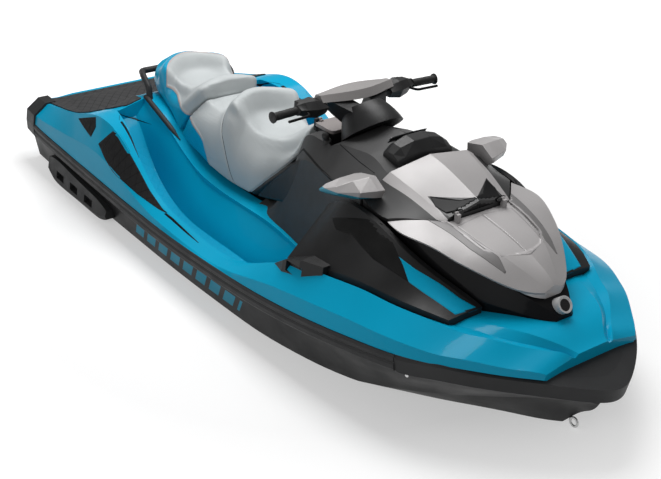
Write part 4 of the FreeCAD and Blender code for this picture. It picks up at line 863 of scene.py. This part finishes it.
# Edge lines of the laid pieces, each as corners (X, Y, Z) to port
INLAY_LOW = ((815, 570, 598), (896, 584, 560), (988, 590, 525), (1190, 588, 497), (1339, 566, 477),
             (1385, 556, 474))
INLAY_HIGH = ((896, 535, 681), (946, 522, 671), (1094, 537, 597), (1236, 546, 517), (1359, 553, 478),
              (1387, 551, 477))
SMALL_LOW = ((556, 532, 625), (640, 548, 614), (735, 565, 602))
SMALL_HIGH = ((558, 531, 628), (728, 530, 692), (754, 546, 654))
SLIT_LOW = ((1382, 564, 470), (1439, 563, 464), (1548, 567, 457), (1660, 567, 452))
SLIT_HIGH = ((1386, 556, 476), (1439, 553, 470), (1548, 558, 461), (1662, 564, 454))
LINE_LOW = ((830, 462, 685), (925, 477, 656), (1018, 494, 620), (1060, 500, 600))
LINE_HIGH = ((822, 446, 686), (925, 462, 660), (1018, 482, 626), (1062, 497, 602))
CREST_LOW = ((817, 460, 687), (776, 436, 690), (735, 400, 670), (704, 365, 650), (703, 338, 637),
             (716, 314, 627), (752, 291, 621), (794, 275, 622))
CREST_HIGH = ((808, 452, 690), (764, 428, 691), (722, 394, 671), (694, 360, 652), (694, 335, 640),
              (708, 309, 629), (748, 285, 622), (794, 273, 622))
BLADE_LOW = ((2650, 214, 874), (2761, 196, 855), (2854, 183, 831), (2933, 157, 802), (2987, 133, 776))
BLADE_HIGH = ((2665, 158, 880), (2779, 145, 851), (2870, 131, 830), (2934, 117, 817), (2985, 126, 781))
RISE_LOW = ((2735, 140, 862), (2779, 136, 851), (2870, 122, 830), (2938, 108, 815))
RISE_HIGH = ((2720, 0.5, 867), (2800, 0.5, 850), (2889, 0.5, 829), (2978, 0.5, 811))
LIP_LOW = ((2628, 152, 896), (2676, 137, 880), (2702, 45, 880), (2706, 0.5, 880))
LIP_HIGH = ((2584, 143, 921), (2620, 98, 916), (2658, 58, 913), (2678, 0.5, 915))
STRIP_LOW = ((2704, 364, 762), (2762, 380, 716), (2829, 361, 694), (2889, 342, 676), (2950, 322, 652))
STRIP_HIGH = ((2682, 364, 778), (2749, 342, 752), (2836, 297, 718), (2909, 265, 685), (2958, 224, 648))
# Edge lines of the painted shadow on the side panel: a black sheet where shade falls.
PANEL_SHADOW_HIGH = ((2322, 392, 795), (2501, 362, 852), (2574, 332, 842), (2691, 364, 772), (2755, 379, 722))
PANEL_SHADOW_LOW = ((2330, 396, 790), (2379, 411, 770), (2465, 404, 783), (2601, 413, 746), (2758, 381, 716))
KNEE_LOW = ((1588, 214, 548), (1740, 219, 586), (1861, 226, 617), (1921, 236, 640))
KNEE_HIGH = ((1590, 212, 556), (1700, 208, 672), (1818, 206, 785), (1879, 200, 830))
CONSOLE_LINE = ((1800, 172, 800), (1853, 178, 850), (1942, 214, 859), (2067, 254, 859), (2215, 289, 860),
                (2330, 310, 862))
UPPER_LINE = ((2061, 157, 944), (2162, 183, 945), (2252, 202, 943), (2350, 215, 942))
MIRROR_LOW = ((2336, 290, 905), (2331, 370, 913), (2328, 430, 921))
MIRROR_HIGH = ((2334, 290, 949), (2330, 370, 949), (2328, 430, 942))

# The middle line of the grab handle's arm, its half width and half height, and where it starts to run out
HANDLE_ARM = ((690, 248, 730), (731, 250, 718), (770, 252, 706), (809, 252, 692), (877, 247, 660),
              (955, 239, 618), (990, 235, 598))
ARM_HALF, ARM_HALF_HEIGHT, ARM_TAPER = 13, 11, 0.72

# Corners (X, Z) at each Y, from the rear's foot over the top: the mirror, and half of the gauge's visor
MIRROR_RINGS = (
    (272, ((2344, 900), (2340, 955), (2424, 974), (2484, 938), (2470, 904), (2430, 890))),
    (300, ((2338, 900), (2335, 957), (2423, 976), (2481, 940), (2468, 907), (2428, 891))),
    (370, ((2334, 908), (2333, 955), (2412, 971), (2462, 943), (2450, 915), (2412, 900))),
    (430, ((2331, 917), (2331, 946), (2384, 952), (2406, 938), (2398, 925), (2372, 915))),
    (461, ((2331, 927), (2331, 933), (2338, 935), (2342, 931), (2340, 928), (2336, 925))),
)
VISOR_RINGS = (
    (138, ((2300, 966), (2306, 996), (2330, 1004), (2362, 1002), (2392, 984), (2400, 964))),
    (104, ((2294, 966), (2302, 1018), (2322, 1030), (2364, 1026), (2398, 998), (2402, 964))),
    (40, ((2293, 966), (2298, 1034), (2318, 1048), (2368, 1042), (2400, 1006), (2402, 964))),
)

# The lid's hinge in X and Z, and a cap's middle, half length, radius and arc in degrees from X over the top
LID_HINGE = (2704.0, 893.0)
CAP_MIDDLE, CAP_HALF, CAP_RADIUS, CAP_ARC = 108.5, 26, 11.5, (100, 195)

# The key post: where it stands, the way it leans, and its (distance along, radius) profile
POST_FOOT, POST_WAY = (1985, -158, 930), (0.1, -0.42, 0.9)
POST_PROFILE = ((-8, 17), (4, 18), (7, 16), (9, 12), (18, 11), (21, 14), (34, 15), (40, 12.5), (43, 7),
                (44, POINT))


def shifted(line, dx, dy, dz):
    """A polyline moved by one step."""
    return tuple((x + dx, y + dy, z + dz) for x, y, z in line)


# Laid pieces: name, edge lines, the CAD node they lie on, finish, body, thickness, lift, points along and
# across. A node's name that ends in an underscore takes the side's name.
LAID = (
    ("flank_inlay", INLAY_LOW, INLAY_HIGH, "deck", inlay_foam, "craft", 3.0, 0.6, (40, 12)),
    ("corner_inlay", SMALL_LOW, SMALL_HIGH, "deck", inlay_foam, "craft", 2.5, 0.6, (40, 12)),
    ("gunwale_slit", SLIT_LOW, SLIT_HIGH, "deck", gloss_black, "craft", 1.0, 0.3, (60, 4)),
    ("deck_line", LINE_LOW, LINE_HIGH, "deck", gloss_black, "craft", 0.8, 0.3, (40, 4)),
    ("crest_line", CREST_LOW, CREST_HIGH, "deck", gloss_black, "craft", 0.8, 0.3, (60, 4)),
    # The hood blade is painted shade: a band of darker silver on the hood.
    ("hood_blade", BLADE_LOW, BLADE_HIGH, "hood", painted_shade_silver, "craft", 3.0, 0.3, (40, 12)),
    ("hood_rise", RISE_LOW, RISE_HIGH, "hood", silver_paint, "craft", 5.0, 0.3, (40, 20)),
    ("deflector_lip", LIP_LOW, LIP_HIGH, "storage_lid", gloss_black, "lid", 2.0, 0.3, (40, 8)),
    ("knee_panel", KNEE_LOW, KNEE_HIGH, None, panel_plastic, "craft", 4.0, 0.6, (40, 12)),
    # Painted shadow: a black sheet on the side panel where shade falls.
    ("painted_panel_shadow", PANEL_SHADOW_LOW, PANEL_SHADOW_HIGH, "side_panel_", black_and_painted_shade, "craft", 0.8, 0.3, (40, 12)),
    ("deck_strip", STRIP_LOW, STRIP_HIGH, "side_panel_", blue_coat, "craft", 2.0, 0.3, (40, 12)),
    ("console_line", CONSOLE_LINE, shifted(CONSOLE_LINE, 0, -4, 9), "console", black_and_painted_shade, "craft", 0.8, 0.3,
     (60, 4)),
    ("upper_line", UPPER_LINE, shifted(UPPER_LINE, 0, -4, 1), "console", gloss_black, "craft", 0.8, 0.3,
     (40, 3)),
)


def build_trim():
    """What lies, stands or is screwed on the deck, the shell and the lid."""
    for side, name in SIDES:
        for kind, low, high, target, finish, body, thick, lift, steps in LAID:
            if target and target.endswith("_"):
                target += name
            laid(f"{kind}_{name}", low, high, target, finish, body, side, thick, lift, steps)
        handle_arm(name, side)
        build_mirror(name, side)
        screw(f"deflector_screw_{name}", (2626, side * 126, 899), (0.35, side * 0.3, 0.9), steel, "lid")
        screw(f"bumper_screw_{name}", (2931, side * 512, 462), (0.3, side * 0.95, 0), steel, "craft", 7)
        hinge_cap(name, side)
    tube("key_post", turned(POST_FOOT, POST_WAY, POST_PROFILE), black_rubber, "craft")


def handle_arm(name, side):
    """The grab handle's arm along the seat: a flat sweep that thins to a fifth at its end. Its path is a mean
    over seven neighbours, which rounds the corners."""
    t = np.linspace(0, 1, 40)
    shape = 1 - 0.8 * smooth(ARM_TAPER, 1, t)
    path = along(HANDLE_ARM, t)
    path = np.stack([np.convolve(np.pad(c, 3, mode="edge"), np.ones(7) / 7, "valid") for c in path.T], -1)
    rings = swept(path * (1, side, 1), ARM_HALF * shape, ARM_HALF_HEIGHT * shape)
    tube(f"handle_arm_{name}", rings, bumper_plastic, "craft")


def hinge_cap(name, side):
    """A dark cap over one pair of the lid's knuckles, round their axis: its radius at v along it is
    r cos(v pi / 2) to the power 0.3. It starts a little behind its top, so that the hood stays clear when the
    lid opens, and ends just below the hinge's level at the rear."""
    columns, rows = 25, 24
    arc = np.radians(np.linspace(*CAP_ARC, rows))
    v, a = np.meshgrid(np.linspace(-0.98, 0.98, columns), arc, indexing="ij")
    radius = CAP_RADIUS * np.cos(v * np.pi / 2) ** 0.3
    points = np.stack([LID_HINGE[0] + radius * np.cos(a), side * CAP_MIDDLE + CAP_HALF * v,
                       LID_HINGE[1] + radius * np.sin(a)], -1)
    obj = mesh_object(f"hinge_cap_{name}", place(points), quads(columns, rows), black_and_painted_shade)
    thicken(obj, 0.0012, 0)
    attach(obj, "lid")


def faceted(name, rings, finish, body, rounding):
    """A faceted skin over six corners in X and Z at each Y, joined straight, with its edges rounded."""
    ys, corners = zip(*rings)
    corners = np.array(corners, float)
    y = np.broadcast_to(np.array(ys, float)[:, None], corners.shape[:2])
    obj = tube(name, np.stack([corners[..., 0], y, corners[..., 1]], -1), finish, body)
    flat_shaded(obj)
    bevel(obj, rounding)
    return obj


def build_mirror(name, side):
    """A mirror: a faceted blade and a slip of glass on the face that looks aft."""
    rings = [(side * y, corners) for y, corners in MIRROR_RINGS]
    blade = faceted(f"mirror_blade_{name}", rings, mirror_paint, "lid", 0.0022)
    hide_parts(f"mirror_{name}")
    laid(f"mirror_glass_{name}", MIRROR_LOW, MIRROR_HIGH, None, mirror_glass, "lid", -side, 1.5)


def build_visor():
    """The gauge's visor, the same on both sides of its middle."""
    rings = [(-y, corners) for y, corners in VISOR_RINGS] + list(VISOR_RINGS[::-1])
    visor = faceted("gauge_visor", rings, panel_plastic, "craft", 0.003)
    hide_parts("gauge_housing")


# Studio

# Half the floor's side; the emission that whitens it to the camera, near the craft and far from it, and the
# distances that count as near and far
FLOOR_HALF = 40
GLOW_NEAR, GLOW_FAR, NEAR, FAR_OFF = 0.42, 0.98, 1.3, 3.4
# Strength of the world as light, and as what the camera sees behind the craft
WORLD_LIGHT, WORLD_SEEN = 0.26, 1.0
# Lamps: name, spot, point aimed at, width and height, watts
LAMPS = (
    ("overhead", (-0.7, 0.6, 3.6), (0.1, 0, 0.3), (3.2, 1.8), 142),
    ("near_side", (0.6, -4.6, 2.3), (0.2, 0, 0.3), (3.6, 1.4), 50),
    ("bow_side", (4.6, 1.2, 2.4), (0.6, 0, 0.4), (1.8, 1.8), 9),
)


def turned_to(obj, right, up, back, spot):
    """Puts a camera or a lamp at a spot, with its own axes along right, up and back."""
    matrix = np.eye(4)
    matrix[:3, 0], matrix[:3, 1], matrix[:3, 2], matrix[:3, 3] = right, up, back, spot
    obj.matrix_world = Matrix(matrix.tolist())
    bpy.context.scene.collection.objects.link(obj)


def build_camera():
    """The photograph's view, from its azimuth, elevation, roll, distance and focal length in pixels."""
    back = np.array((math.sin(AZIMUTH) * math.cos(ELEVATION), -math.cos(AZIMUTH) * math.cos(ELEVATION),
                     math.sin(ELEVATION)))
    right = np.cross(-back, (0, 0, 1))
    right /= np.linalg.norm(right)
    up = np.cross(right, -back)
    turned_right = right * math.cos(ROLL) + up * math.sin(ROLL)
    turned_up = -right * math.sin(ROLL) + up * math.cos(ROLL)
    spot = np.array(TARGET) - (LENGTH / 2000, 0, DRAFT / 1000) + back * DISTANCE
    data = bpy.data.cameras.new("camera")
    data.sensor_fit, data.sensor_width = "HORIZONTAL", 36.0
    data.lens = FOCAL / IMAGE[0] * data.sensor_width
    data.clip_end = 100
    camera = bpy.data.objects.new("camera", data)
    turned_to(camera, turned_right, turned_up, back, spot)
    bpy.context.scene.camera = camera


def build_floor():
    """The floor at the waterline. It is plain grey to light, and to the camera and in reflections it also
    glows, so that it looks white and keeps the craft's shadow."""
    points = np.array([[(-1, -1, 0), (1, -1, 0)], [(-1, 1, 0), (1, 1, 0)]], float) * FLOOR_HALF
    f = Finish("floor", (0.56, 0.56, 0.56), 0.9, specular=0.0)
    f.paint(f.mottle(0.5, 0.004))
    glow = f.node("ShaderNodeEmission")
    glow.inputs["Color"].default_value = (1, 1, 1, 1)
    away = f.node("ShaderNodeVectorMath", operation="LENGTH")
    f.link(f.place, away.inputs[0])
    f.link(f.spread(away.outputs["Value"], NEAR, FAR_OFF, GLOW_NEAR, GLOW_FAR), glow.inputs["Strength"])
    plain, ray = f.node("ShaderNodeAddShader"), f.node("ShaderNodeLightPath")
    seen = f.math("MAXIMUM", ray.outputs["Is Camera Ray"], ray.outputs["Is Glossy Ray"])
    either = f.node("ShaderNodeMixShader")
    f.link(f.shader.outputs[0], plain.inputs[0])
    f.link(glow.outputs[0], plain.inputs[1])
    f.link(seen, either.inputs[0])
    f.link(f.shader.outputs[0], either.inputs[1])
    f.link(plain.outputs[0], either.inputs[2])
    f.link(either.outputs[0], f.tree.nodes["Material Output"].inputs["Surface"])
    floor = mesh_object("floor", points, quads(2, 2), f.material, False)


def area(name, spot, aim, size, power):
    """A soft box at a spot, aimed at a point, in metres and watts."""
    data = bpy.data.lights.new(name, "AREA")
    data.shape, data.size, data.size_y, data.energy = "RECTANGLE", size[0], size[1], power
    lamp = bpy.data.objects.new(name, data)
    away = np.array(spot, float) - np.array(aim, float)
    away /= np.linalg.norm(away)
    side = np.cross((0, 0, 1) if abs(away[2]) < 0.95 else (0, 1, 0), away)
    side /= np.linalg.norm(side)
    turned_to(lamp, side, np.cross(away, side), away, spot)


def build_light():
    """A dim world that looks white to the camera, and the lamps."""
    world = bpy.data.worlds.new("studio")
    bpy.context.scene.world = world
    world.use_nodes = True
    sky, ray = world.node_tree.nodes["Background"], world.node_tree.nodes.new("ShaderNodeLightPath")
    links = world.node_tree.links
    sky.inputs["Color"].default_value = (1, 1, 1, 1)
    mix = world.node_tree.nodes.new("ShaderNodeMapRange")
    mix.inputs["To Min"].default_value, mix.inputs["To Max"].default_value = WORLD_LIGHT, WORLD_SEEN
    links.new(ray.outputs["Is Camera Ray"], mix.inputs["Value"])
    links.new(mix.outputs["Result"], sky.inputs["Strength"])
    for lamp in LAMPS:
        area(*lamp)


def main():
    """Dresses and adds to the frame's nodes and lights them."""
    bpy.context.scene.view_settings.view_transform = "Standard"
    dress_nodes()
    build_camera()
    build_floor()
    build_light()
    build_seats()
    build_grips()
    build_gauge()
    build_visor()
    build_trim()


main()
